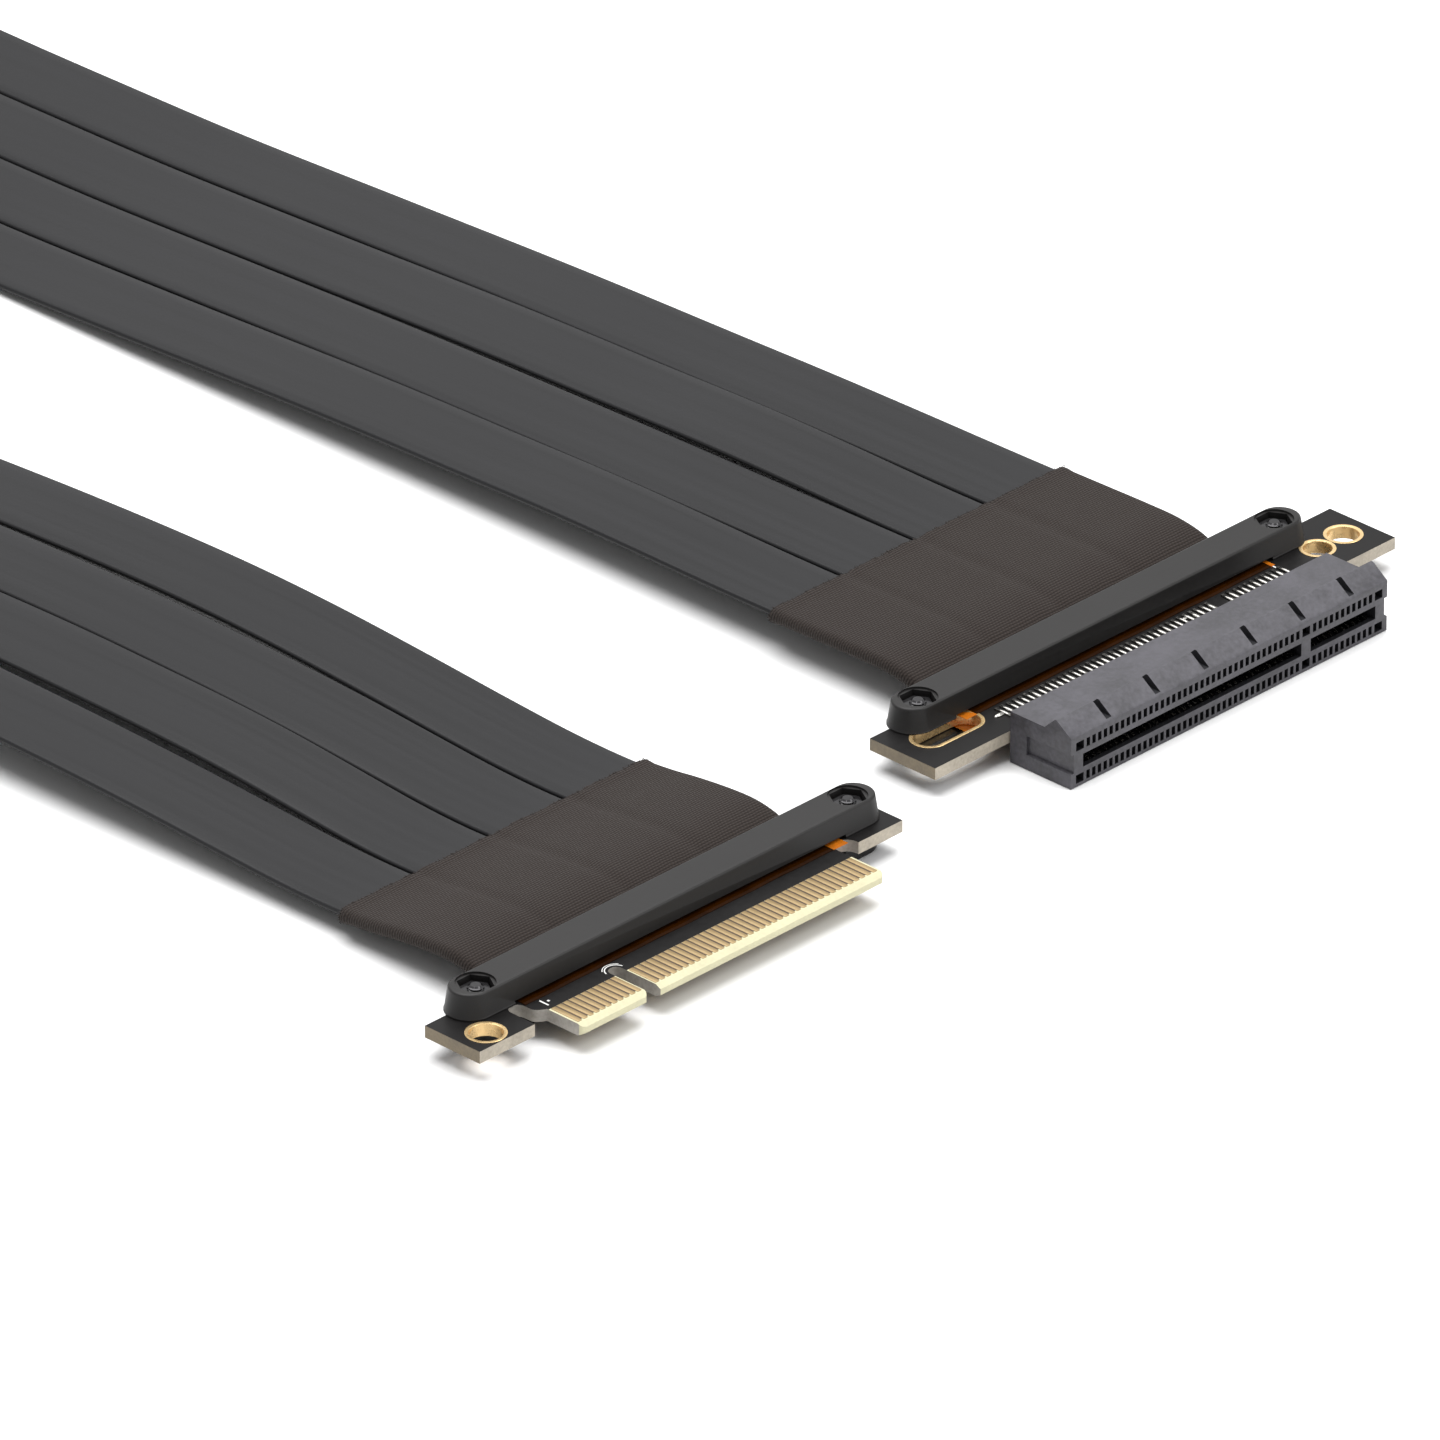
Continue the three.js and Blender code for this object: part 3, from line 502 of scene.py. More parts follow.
def next_ring(bm, ring, points):
    """Extrudes a closed ring of vertices onto the next ring of points"""
    order = {vertex: i for i, vertex in enumerate(ring)}
    made = bmesh.ops.extrude_edge_only(bm, edges=ring_edges(bm, ring))["geom"]
    fresh = [None] * len(ring)
    for vertex in made:
        if not isinstance(vertex, bmesh.types.BMVert):
            continue
        for edge in vertex.link_edges:
            index = order.get(edge.other_vert(vertex))
            if index is not None:
                fresh[index] = vertex
    for vertex, point in zip(fresh, points):
        vertex.co = point
    return fresh


def through_rings(bm, rings, close_ends=True):
    ring = first_ring(bm, rings[0])
    start = ring
    made = [ring]
    for points in rings[1:]:
        ring = next_ring(bm, ring, points)
        made.append(ring)
    if close_ends:
        bm.faces.new(start)
        bm.faces.new(ring)
    return made


def outward(bm):
    bmesh.ops.recalc_face_normals(bm, faces=bm.faces[:])


def lay_strip_uv(bm, rings, section_run, path_run):
    """UV map in millimetres: X round the section and Y along the path"""
    layer = bm.loops.layers.uv.new("strip")
    flat = {}
    for ring, along in zip(rings, path_run):
        for vertex, around in zip(ring, section_run):
            flat[vertex] = (around, along)
    whole = section_run[-1] + section_run[1] - section_run[0]
    for face in bm.faces:
        spots = [flat[loop.vert] for loop in face.loops]
        wraps = max(s[0] for s in spots) - min(s[0] for s in spots) > whole / 2
        for loop, (around, along) in zip(face.loops, spots):
            if wraps and around < whole / 2:
                around += whole
            loop[layer].uv = (around, along)


def run_along(points):
    total = [0.0]
    for a, b in zip(points, points[1:]):
        total.append(total[-1] + (Vector(b) - Vector(a)).length)
    return total


def strip_section(half, thick, across, corner=4, dip=None):
    """A flat section with round long edges, as offsets across and through, in millimetres"""
    radius = min(thick, 0.45 * half)
    flat = half - radius
    rows = [-flat + 2 * flat * i / across for i in range(across + 1)]
    sag = dip or (lambda a: 0.0)
    top = [(a, thick - sag(a)) for a in rows]
    right = [
        (flat + radius * math.sin(t), thick * math.cos(t))
        for t in (math.pi * i / (2 * corner) for i in range(1, 2 * corner))
    ]
    bottom = [(a, -thick + sag(a)) for a in reversed(rows)]
    left = [(-a, -b) for a, b in right]
    return top + right + bottom + left


def smooth_route(points, step):
    """Points of a smooth curve through a route, no further apart than step"""
    curve = []
    for i in range(len(points) - 1):
        p0 = points[max(i - 1, 0)]
        p1, p2 = points[i], points[i + 1]
        p3 = points[min(i + 2, len(points) - 1)]
        count = max(1, math.ceil((p2[0] - p1[0]) / step))
        slope1 = (p2[1] - p0[1]) / (p2[0] - p0[0])
        slope2 = (p3[1] - p1[1]) / (p3[0] - p1[0])
        run = p2[0] - p1[0]
        for k in range(count):
            t = k / count
            a = 2 * t**3 - 3 * t**2 + 1
            b = t**3 - 2 * t**2 + t
            c = -2 * t**3 + 3 * t**2
            d = t**3 - t**2
            z = a * p1[1] + b * run * slope1 + c * p2[1] + d * run * slope2
            curve.append((p1[0] + t * run, z))
    curve.append(points[-1])
    return curve


def leg_stations(end, x, step, across=1.0, drift=None, last=None):
    """Stations along one leg of the cable: centre, direction across and direction up"""
    site = SITES[end]
    route = [p for p in smooth_route(ROUTES[end], step) if last is None or p[0] <= last + 1e-6]
    move = drift or (lambda y: (0.0, 0.0))
    centres = []
    for y, z in route:
        side, lift = move(y)
        centres.append(Vector((x + side, site["back"] + y, z + lift)))
    stations = []
    for i, centre in enumerate(centres):
        run = centres[min(i + 1, len(centres) - 1)] - centres[max(i - 1, 0)]
        if i == 0:
            run = Vector((0.0, 1.0, 0.0))
        up = Vector((0.0, -run.z, run.y)).normalized()
        stations.append((centre, Vector((across, 0.0, 0.0)), up))
    return stations


def station_points(station, section):
    centre, across, up = station
    return [place(*(centre + across * a + up * b)) for a, b in section]


def bell(y, start, end):
    if not start < y < end:
        return 0.0
    return math.sin(math.pi * (y - start) / (end - start)) ** 2


def box_mesh(low, high):
    bm = bmesh.new()
    bmesh.ops.create_cube(bm, size=1.0)
    low, high = Vector(low), Vector(high)
    bmesh.ops.scale(bm, vec=high - low, verts=bm.verts[:])
    bmesh.ops.translate(bm, vec=(low + high) / 2, verts=bm.verts[:])
    return bm


def oblong_ring(x, y, z, half, radius, segments=48):
    """A circle stretched along X, started half a step round so that its sides stay straight"""
    points = []
    for i in range(segments):
        turn = 2 * math.pi * (i + 0.5) / segments
        a = radius * math.cos(turn)
        points.append(place(x + a + math.copysign(half, a), y + radius * math.sin(turn), z))
    return points


def oblong_solid(x, y, half, profile, segments=48):
    bm = bmesh.new()
    through_rings(bm, [oblong_ring(x, y, z, half, radius, segments) for radius, z in profile])
    outward(bm)
    return bm


def hexagon_solid(x, y, flats, z0, z1, chamfer=0.0):
    radius = flats / math.sqrt(3)
    rings = []
    levels = [(radius, z0), (radius, z1)]
    if chamfer:
        levels = [(radius - chamfer, z0), (radius, z0 + chamfer), (radius, z1 - chamfer),
                  (radius - chamfer, z1)]
    for reach, z in levels:
        rings.append([
            place(x + reach * math.cos(i * math.pi / 3), y + reach * math.sin(i * math.pi / 3), z)
            for i in range(6)
        ])
    bm = bmesh.new()
    through_rings(bm, rings)
    outward(bm)
    return bm


def temporary(bm):
    mesh = bpy.data.meshes.new("temporary")
    bm.to_mesh(mesh)
    bm.free()
    thing = bpy.data.objects.new("temporary", mesh)
    bpy.context.scene.collection.objects.link(thing)
    return thing


def carve(bm, cutters):
    """Subtracts cutters from a solid and returns the result as a new mesh"""
    body = temporary(bm)
    tools = [temporary(cutter) for cutter in cutters]
    for tool in tools:
        modifier = body.modifiers.new("cut", "BOOLEAN")
        modifier.operation = "DIFFERENCE"
        modifier.solver = "EXACT"
        modifier.object = tool
    bpy.context.view_layer.update()
    carved = body.evaluated_get(bpy.context.evaluated_depsgraph_get())
    result = bmesh.new()
    result.from_mesh(carved.to_mesh())
    carved.to_mesh_clear()
    for thing in [body, *tools]:
        mesh = thing.data
        bpy.data.objects.remove(thing)
        bpy.data.meshes.remove(mesh)
    if not result.faces:
        raise RuntimeError("a cut left nothing")
    return result


def soften(bm, width, segments=2, least=40.0):
    """Rounds every sharp edge a little"""
    sharp = [
        edge for edge in bm.edges
        if len(edge.link_faces) == 2 and edge.calc_face_angle(0.0) > math.radians(least)
    ]
    bmesh.ops.bevel(bm, geom=sharp, offset=width, offset_type="OFFSET", segments=segments,
                    profile=0.5, affect="EDGES", clamp_overlap=True, material=-1)


def node_copy(node):
    """A merged copy of a CAD node's mesh, with flat areas as single faces"""
    bm = bmesh.new()
    bm.from_mesh(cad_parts[node].data)
    for layer in list(bm.loops.layers.uv):
        bm.loops.layers.uv.remove(layer)
    bmesh.ops.remove_doubles(bm, verts=bm.verts[:], dist=1e-6)
    bmesh.ops.dissolve_limit(bm, angle_limit=math.radians(1.0), verts=bm.verts[:],
                             edges=bm.edges[:])
    return bm


# Pieces


def stroll(end, index):
    """How far a ribbon wanders sideways and up along its leg, in millimetres"""
    sides = {"male": (-0.75, 0.25, -0.1, 0.55), "female": (0.35, -0.15, 0.3, -0.2)}
    lifts = {"male": (0.0, 0.35, 0.1, -0.2), "female": (0.25, 0.0, 0.35, 0.1)}
    start = SITES[end]["sleeve_end"] + 1.5

    def move(y):
        swing = bell(y, start, 150.0)
        ripple = bell(y, start, 90.0)
        return sides[end][index] * swing, lifts[end][index] * ripple

    return move


def fold_stations(x, y, side, bends=12):
    slant = math.sqrt(0.5)
    stations = []
    for step in range(bends + 1):
        turn = step * math.pi / bends
        flat = (turn - math.pi / 2) * FOLD_RADIUS
        reach = (math.sin(turn) - math.pi / 2) * FOLD_RADIUS
        lift = (1 - math.cos(turn)) * FOLD_RADIUS
        centre = Vector((x + side * slant * (flat - reach), y + slant * (flat + reach),
                         GROUND_LEVEL + lift))
        up = Vector((side * slant * math.sin(turn), -slant * math.sin(turn), math.cos(turn)))
        stations.append((centre, Vector((side, 1.0, 0.0)), up))
    return stations


def ribbon_stations(index, step):
    offset = (index - (RIBBON_COUNT - 1) / 2) * RIBBON_PITCH
    x0 = SITES["male"]["x"] + offset
    x1 = SITES["female"]["x"] - offset
    turn_y = x0 + FOLD_LINE
    room = 6.2 + 3 * FOLD_RADIUS
    top = GROUND_LEVEL + 2 * FOLD_RADIUS
    out = leg_stations("male", x0, step, 1.0, stroll("male", index))
    home = leg_stations("female", x1, step, -1.0, stroll("female", RIBBON_COUNT - 1 - index))
    flat_up = Vector((0.0, 0.0, 1.0))

    def lying(x, start, across):
        end = turn_y - room
        count = max(2, math.ceil((end - start) / (step * 2)))
        return [
            (Vector((x, start + (end - start) * k / count, GROUND_LEVEL)),
             Vector((across, 0.0, 0.0)), flat_up)
            for k in range(1, count + 1)
        ]

    count = max(2, math.ceil((x1 - x0) / (step * 2)))
    crossing = [
        (Vector((x0 + room + (x1 - x0 - 2 * room) * k / count, turn_y, top)),
         Vector((0.0, 1.0, 0.0)), -flat_up)
        for k in range(count + 1)
    ]
    out += lying(x0, out[-1][0].y, 1.0)
    home += lying(x1, home[-1][0].y, -1.0)
    return [
        *out, *fold_stations(x0, turn_y, 1), *crossing,
        *reversed(fold_stations(x1, turn_y, -1)), *reversed(home),
    ]


class RISER_OT_ribbons(bpy.types.Operator):
    """Four flat ribbons from the card edge to the slot, each turned over in two folds"""

    bl_idname = "riser.ribbons"
    bl_label = "Ribbons"

    def execute(self, context):
        sizes = context.scene.riser_sizes
        half = sizes.ribbon_width / MM / 2
        thick = sizes.ribbon_thickness / MM / 2
        section = strip_section(half, thick, 8, 3)
        around = run_along([(a, b, 0.0) for a, b in section])
        for index in range(RIBBON_COUNT):
            stations = ribbon_stations(index, sizes.ribbon_step / MM)
            path = [place(*station[0]) for station in stations]
            bm = bmesh.new()
            rings = through_rings(bm, [station_points(s, section) for s in stations])
            lay_strip_uv(bm, rings, around, [run / MM for run in run_along(path)])
            outward(bm)
            piece = finish_piece(f"flat_ribbon_{index + 1}", bm, [jacket()],
                                 [f"ribbon_{index + 1}"], 50.0)
        return {"FINISHED"}


def sleeve_sag(a):
    """The cloth sinks a little between two ribbons"""
    near = min(abs(a - edge * RIBBON_PITCH) for edge in (-1, 0, 1))
    return 0.16 * math.exp(-(near / 0.9) ** 2)


class RISER_OT_sleeves(bpy.types.Operator):
    """Woven tape round the ribbons behind each clamp, with its raw edge"""

    bl_idname = "riser.sleeves"
    bl_label = "Sleeves"

    def execute(self, context):
        wall = context.scene.riser_sizes.sleeve_wall / MM
        half, thick = 26.15, 0.9
        for seed, (end, site) in enumerate(SITES.items()):
            draw = random.Random(11 + seed)
            stations = leg_stations(end, site["x"], 0.8, last=site["sleeve_end"])[2:]
            outer = strip_section(half, thick, 64, 4, sleeve_sag)
            hem = strip_section(half + 0.1, thick + 0.1, 64, 4, sleeve_sag)
            inner = strip_section(half - wall, thick - wall, 64, 4)
            rings = [station_points(s, outer) for s in stations[:-2]]
            rings += [station_points(s, hem) for s in stations[-2:]]
            fray = Vector((0.0, 1.0, 0.0)) * MM
            rings[-1] = [p + fray * draw.uniform(-0.16, 0.16) for p in rings[-1]]
            rings += [station_points(s, inner) for s in reversed(stations)]
            runs = run_along([s[0] for s in stations])
            bm = bmesh.new()
            made = through_rings(bm, rings, close_ends=False)
            bmesh.ops.bridge_loops(bm, edges=ring_edges(bm, made[0]) + ring_edges(bm, made[-1]))
            lay_strip_uv(bm, made, run_along([(a, b, 0.0) for a, b in outer]),
                         runs + list(reversed(runs)))
            outward(bm)
            piece = finish_piece(f"{end}_woven_sleeve", bm, [woven_cloth()],
                                 [f"{end}_sleeve"], 60.0)
            threads = self.threads(end, stations[-1], hem, draw)
        return {"FINISHED"}

    def threads(self, end, station, section, draw):
        """Short cut ends of the tape's threads along its rear edge"""
        bm = bmesh.new()
        centre, across, up = station
        along = Vector((0.0, up.z, -up.y))
        for _ in range(260):
            a, b = section[draw.randrange(len(section))]
            a += draw.uniform(-0.25, 0.25)
            root = centre + across * a + up * b - along * 0.3
            lean = Vector((draw.uniform(-0.5, 0.5), 1.0, draw.uniform(-0.05, 0.35)))
            tip = root + lean.normalized() * draw.uniform(0.34, 0.5)
            size = draw.uniform(0.025, 0.04)
            rings = []
            for spot, share in ((root, 1.0), (root.lerp(tip, 0.6), 0.9), (tip, 0.35)):
                rings.append([
                    place(*(spot + Vector((dx, 0.0, dz)) * size * share))
                    for dx, dz in ((-1, -1), (1, -1), (1, 1), (-1, 1))
                ])
            through_rings(bm, rings)
        outward(bm)
        return finish_piece(f"{end}_sleeve_threads", bm, [thread_cloth()])


def thread_cloth():
    return grained("thread_cloth", tuple(colours().cloth), 0.9, 2500.0, 600.0, 1.6, 0.6, 1.3,
                   0.01, 0.3)


def clamp_profile(base, top, z0, z1, fillet):
    """Radius and height pairs from a bar's face on the board to its rounded outer edge"""
    rise = 1 if z1 > z0 else -1
    lip = 0.09
    profile = [(base + lip, z0), (base + lip, z0 + rise * 0.22), (base, z0 + rise * 0.34)]
    for i in range(5):
        turn = math.pi / 2 * i / 4
        profile.append((top - fillet + fillet * math.cos(turn),
                        z1 - rise * (fillet - fillet * math.sin(turn))))
    return profile


class RISER_OT_clamps(bpy.types.Operator):
    """Upper and lower clamp bars with their recesses"""

    bl_idname = "riser.clamps"
    bl_label = "Clamps"

    def execute(self, context):
        fillet = context.scene.riser_sizes.clamp_fillet / MM
        for end, site in SITES.items():
            x, y = site["x"], site["back"] - CLAMP_SETBACK
            half = CLAMP_HALF + 0.95
            relief = (place(x - 28, y - 4.5, 2.0), place(x + 28, y + 4.5, 4.6))
            for part in ("upper", "lower"):
                upper = part == "upper"
                z0, z1 = (4.1, 7.4) if upper else (2.5, 0.0)
                radius = 2.65 if upper else 2.85
                bm = oblong_solid(x, y, half, clamp_profile(3.05, radius, z0, z1, fillet), 64)
                cutters = [box_mesh(*relief), *gold_room()]
                for side in (-1, 1):
                    sx = x + side * CLAMP_HALF
                    if upper:
                        cutters.append(oblong_solid(sx, y, 0.0, [(2.44, 7.15), (2.52, 8.0)], 48))
                        cutters.append(hexagon_solid(sx, y, 4.0, 5.1, 7.6))
                        cutters.append(oblong_solid(sx, y, 0.0, [(1.12, 3.0), (1.12, 5.3)], 24))
                    else:
                        cutters.append(oblong_solid(sx, y, 0.0, [(2.02, -1.0), (2.02, 1.6)], 40))
                        cutters.append(oblong_solid(sx, y, 0.0, [(1.12, 1.4), (1.12, 3.0)], 24))
                bm = carve(bm, cutters)
                finish_piece(f"{end}_{part}_bar", bm, [clamp_plastic()],
                             [f"{end}_{part}_clamp"], 32.0)
        return {"FINISHED"}


def gold_room():
    """Pockets over the gold round the slot board's holes"""
    return [
        oblong_solid(146.2, 17.3, 0.0, [(2.36, 2.38), (2.36, 4.22)], 40),
        oblong_solid(81.4, 18.1, 3.1, [(2.51, 2.38), (2.51, 4.22)], 40),
    ]


class RISER_OT_fasteners(bpy.types.Operator):
    """Screws from below and the nuts that hold them"""

    bl_idname = "riser.fasteners"
    bl_label = "Screws and nuts"

    def execute(self, context):
        for end, site in SITES.items():
            for side, word in ((-1, "left"), (1, "right")):
                x = site["x"] + side * CLAMP_HALF
                y = site["back"] - CLAMP_SETBACK
                nut = carve(hexagon_solid(x, y, 3.8, 5.1, 6.5, 0.25),
                            [oblong_solid(x, y, 0.0, [(1.05, 5.0), (1.05, 6.8)], 28)])
                finish_piece(f"{end}_hex_nut_{word}", nut, [black_steel()],
                             [f"{end}_nut_{word}"], 25.0)
                profile = [(1.55, 0.3), (1.85, 0.5), (1.9, 0.9), (1.9, 1.5), (1.8, 1.6), (0.95, 1.62)]
                z = 1.9
                while z < 6.75:
                    profile += [(0.84, z), (1.0, z + 0.1), (0.84, z + 0.2)]
                    z += 0.3
                profile += [(0.84, 6.85), (0.62, 7.05)]
                screw = carve(oblong_solid(x, y, 0.0, profile, 28),
                              [hexagon_solid(x, y, 1.5, 0.0, 1.1)])
                finish_piece(f"{end}_machine_screw_{word}", screw, [black_steel()],
                             [f"{end}_screw_{word}"], 25.0)
        return {"FINISHED"}


class RISER_OT_boards(bpy.types.Operator):
    """Circuit boards with lacquered faces, cut edges and the bare card edge"""

    bl_idname = "riser.boards"
    bl_label = "Boards"

    def execute(self, context):
        for end in ("male", "female"):
            bm = node_copy(f"{end}_board")
            mask_line = place(0, 4.55, 0).y
            if end == "male":
                bmesh.ops.bisect_plane(bm, geom=[*bm.verts, *bm.edges, *bm.faces],
                                       plane_co=(0, mask_line, 0), plane_no=(0, 1, 0))
            for face in bm.faces:
                face.material_index = self.finish(face, end)
            finish_piece(f"{end}_circuit_board", bm,
                         [solder_mask(), cut_laminate(), bevel_laminate(), routed_laminate(),
                          side_laminate()], [f"{end}_board"], 30.0)
        return {"FINISHED"}

    def finish(self, face, end):
        """Lacquer on the flats, a cut finish for each kind of edge, and a darker painted-shade copy of
        the laminate on edges that face along X
        """
        middle = (face.calc_center_median() - ORIGIN) / MM
        lacquer, front, bevel, routed, side = range(5)
        on_tab = end == "male" and -0.7 < middle.x < 50.7
        if abs(face.normal.z) > 0.9:
            return bevel if on_tab and middle.y < 4.55 else lacquer
        if on_tab and face.normal.y < -0.3 and middle.y < 0.5:
            return bevel
        if end == "male" and -4.4 < middle.x < 54.0 and middle.y < 8.5:
            return routed
        # Edges that face along X take the painted-shade copy of the laminate
        return side if abs(face.normal.x) > 0.7 else front


class RISER_OT_fingers(bpy.types.Operator):
    """Gold fingers on both faces of the card edge, and painted shade in the gaps between them"""

    bl_idname = "riser.fingers"
    bl_label = "Contact fingers"

    def execute(self, context):
        places = [*range(SHORT_ROW), *(LONG_START + i for i in range(LONG_ROW))]
        for word, sign in (("top", 1), ("bottom", -1)):
            bm = bmesh.new()
            for x in places:
                finger = self.finger(x, sign)
                mesh = bpy.data.meshes.new("finger")
                finger.to_mesh(mesh)
                finger.free()
                bm.from_mesh(mesh)
                bpy.data.meshes.remove(mesh)
            outward(bm)
            finish_piece(f"contact_fingers_{word}", bm, [gold_plating()],
                         [f"male_contacts_{word}_short", f"male_contacts_{word}_long"], 40.0)
            # Dark brown strips in the gaps between neighbouring fingers are painted shade
            bm = bmesh.new()
            for x, after in zip(places, places[1:]):
                if after - x < 1.5:
                    self.add_box(bm, (x + 0.35, 0.3, sign), (x + 0.65, 4.52, sign))
            outward(bm)
            finish_piece(f"finger_gap_painted_shade_{word}", bm, [groove_laminate()], (), 40.0)
        return {"FINISHED"}

    def add_box(self, bm, low, high):
        face = BOARD_MIDDLE + low[2] * 0.8
        made = bmesh.ops.create_cube(bm, size=1.0)["verts"]
        low, high = place(low[0], low[1], face - 0.03), place(high[0], high[1], face + 0.03)
        bmesh.ops.scale(bm, vec=high - low, verts=made)
        bmesh.ops.translate(bm, vec=(low + high) / 2, verts=made)

    def finger(self, x, sign):
        middle = BOARD_MIDDLE + sign * 0.8
        bm = box_mesh(place(x - 0.36, 0.0, min(middle, middle + sign * 0.06)),
                      place(x + 0.36, 4.5, max(middle, middle + sign * 0.06)))
        upright = [e for e in bm.edges if abs((e.verts[0].co - e.verts[1].co).z) > 0.01 * MM]
        bmesh.ops.bevel(bm, geom=upright, offset=0.16 * MM, segments=3, profile=0.5,
                        affect="EDGES", material=-1)
        rim = [
            e for e in bm.edges
            if e.is_manifold and e.calc_face_angle(0.0) > 1.0
            and (e.verts[0].co.z + e.verts[1].co.z - 2 * middle * MM) * sign > 0.05 * MM
        ]
        bmesh.ops.bevel(bm, geom=rim, offset=0.03 * MM, segments=2, profile=0.5,
                        affect="EDGES", material=-1)
        return bm


class RISER_OT_plated_holes(bpy.types.Operator):
    """Gold barrels and rims in the boards' holes"""

    bl_idname = "riser.plated_holes"
    bl_label = "Plated holes"

    def execute(self, context):
        holes = {
            "male_plated_hole": (-9.6, 6.0, 0.0, 2.05),
            "female_plated_hole_inner": (146.2, 17.3, 0.0, 1.8),
            "female_plated_hole_outer": (151.05, 17.5, 0.0, 1.98),
            "female_plated_slot": (81.4, 18.1, 3.1, 1.95),
        }
        for node, (x, y, half, radius) in holes.items():
            out, low, high = radius + 0.5, BOARD_BOTTOM - 0.06, BOARD_TOP + 0.06
            wall = radius + 0.1
            profile = [
                (radius, low + 0.1), (radius + 0.05, low + 0.02), (radius + 0.12, low),
                (out - 0.03, low), (out, low + 0.03), (out, BOARD_BOTTOM), (wall, BOARD_BOTTOM),
                (wall, BOARD_TOP), (out, BOARD_TOP), (out, high - 0.03), (out - 0.03, high),
                (radius + 0.12, high), (radius + 0.05, high - 0.02), (radius, high - 0.1),
            ]
            bm = bmesh.new()
            rings = through_rings(
                bm, [oblong_ring(x, y, z, half, r, 64) for r, z in profile], close_ends=False
            )
            bmesh.ops.bridge_loops(bm, edges=ring_edges(bm, rings[0]) + ring_edges(bm, rings[-1]))
            outward(bm)
            finish_piece(f"{node}_rim", bm, [gold_barrel()], [node], 30.0)
        return {"FINISHED"}


# The barrels' gold is 2.4 times the fingers' gold, a painted reflection of the bright floor; the
# smoother, more metallic finish is the plating's own
def gold_barrel():
    return grained("gold_barrel", shade(colours().gold, 2.4), 0.28, 1900.0, 700.0, 1.6, 0.8,
                   1.15, 0.012, 0.4, metallic=0.75)


class RISER_OT_housing(bpy.types.Operator):
    """Moulded slot body, with painted shade on the faces inside its slits, cells and slot"""

    bl_idname = "riser.housing"
    bl_label = "Slot housing"

    def execute(self, context):
        bm = node_copy("slot_housing")
        soften(bm, context.scene.riser_sizes.mould_edge)
        for face in bm.faces:
            # Faces inside the slits, the cells and the slot get the near-black painted shade
            face.material_index = 0 if self.outside(face) else 1
        finish_piece("moulded_housing", bm, [housing_plastic(), housing_recess()],
                     ["slot_housing"], 22.0)
        return {"FINISHED"}

    def outside(self, face):
        """Whether a face belongs to the outer skin and not to a slit, a cell or the slot"""
        x, y, z = (face.calc_center_median() - ORIGIN) / MM
        near = 0.16
        if x < 86.1 + 0.62 or x > 142.1 - 0.62 or y < 2.1 + near or y > 12.1 - near:
            return True
        roof = 6.9 + 1.7 * (y - 2.1) / 2.4 if y < 4.5 else max(7.0, 8.6 - 1.6 * (y - 4.8) / 1.7)
        return z < 0.1 + near or z > min(roof, 8.6) - near


def slot_places():
    last = FEMALE_CENTRE + LAST_FINGER / 2
    return [last - i for i in range(SHORT_ROW)] + [
        last - LONG_START - i for i in range(LONG_ROW)
    ]


class RISER_OT_leads(bpy.types.Operator):
    """Slot springs with their bent tails, and the solder at their feet"""

    bl_idname = "riser.leads"
    bl_label = "Slot leads"

    def execute(self, context):
        width = context.scene.riser_sizes.lead_width / MM / 2
        for word, sign in (("top", 1), ("bottom", -1)):
            draw = random.Random(31 + sign)
            bm = bmesh.new()
            for x in slot_places():
                self.lead(bm, x, sign, width, draw)
            outward(bm)
            finish_piece(f"slot_leads_{word}", bm, [tinned_lead()],
                         [f"slot_contacts_{word}"], 50.0)
            bm = bmesh.new()
            for x in slot_places():
                self.fillet(bm, x, sign, draw)
            self.lump(bm, 88.4, 16.0, sign, 0.95)
            self.lump(bm, 121.6, 16.6, sign, 0.7)
            outward(bm)
            finish_piece(f"slot_solder_{word}", bm, [tinned_lead()], (), 60.0)
        return {"FINISHED"}

    def lead(self, bm, x, sign, width, draw):
        half = 0.1
        sway = draw.uniform(-0.05, 0.05)
        line = [
            (2.9, 0.84), (3.3, 0.74), (4.2, 0.56), (5.6, 0.66), (6.6, 0.8), (8.4, 1.1), (10.6, 1.34),
            (11.8, 1.42), (12.5, 1.42), (12.95, 1.38), (13.3, 1.27), (13.6, 1.1), (13.95, 0.97),
            (14.35, 0.91), (15.4, 0.905), (17.4, 0.905),
        ]
        rings = []
        for i, (y, z) in enumerate(line):
            before = line[max(i - 1, 0)]
            after = line[min(i + 1, len(line) - 1)]
            run = Vector((after[0] - before[0], after[1] - before[1])).normalized()
            shift = sway * max(0.0, (y - 12.5) / 4.5)
            rings.append([
                place(x + shift + a * width, y - b * half * run.y,
                      BOARD_MIDDLE + sign * (z + b * half * run.x))
                for a, b in ((-1, -1), (1, -1), (1, 1), (-1, 1))
            ])
        through_rings(bm, rings)

    def fillet(self, bm, x, sign, draw):
        long = draw.uniform(1.0, 1.3)
        wide = draw.uniform(0.24, 0.31)
        made = bmesh.ops.create_icosphere(bm, subdivisions=2, radius=1.0)["verts"]
        bmesh.ops.scale(bm, vec=Vector((wide, long, 0.26)) * MM, verts=made)
        spot = place(x + draw.uniform(-0.05, 0.05), 16.3 + draw.uniform(-0.15, 0.15),
                     BOARD_MIDDLE + sign * 0.86)
        bmesh.ops.translate(bm, vec=spot, verts=made)

    def lump(self, bm, x, y, sign, size):
        made = bmesh.ops.create_icosphere(bm, subdivisions=3, radius=1.0)["verts"]
        bmesh.ops.scale(bm, vec=Vector((size, 0.45 * size, 0.3 * size)) * MM, verts=made)
        bmesh.ops.translate(bm, vec=place(x, y, BOARD_MIDDLE + sign * 0.83), verts=made)


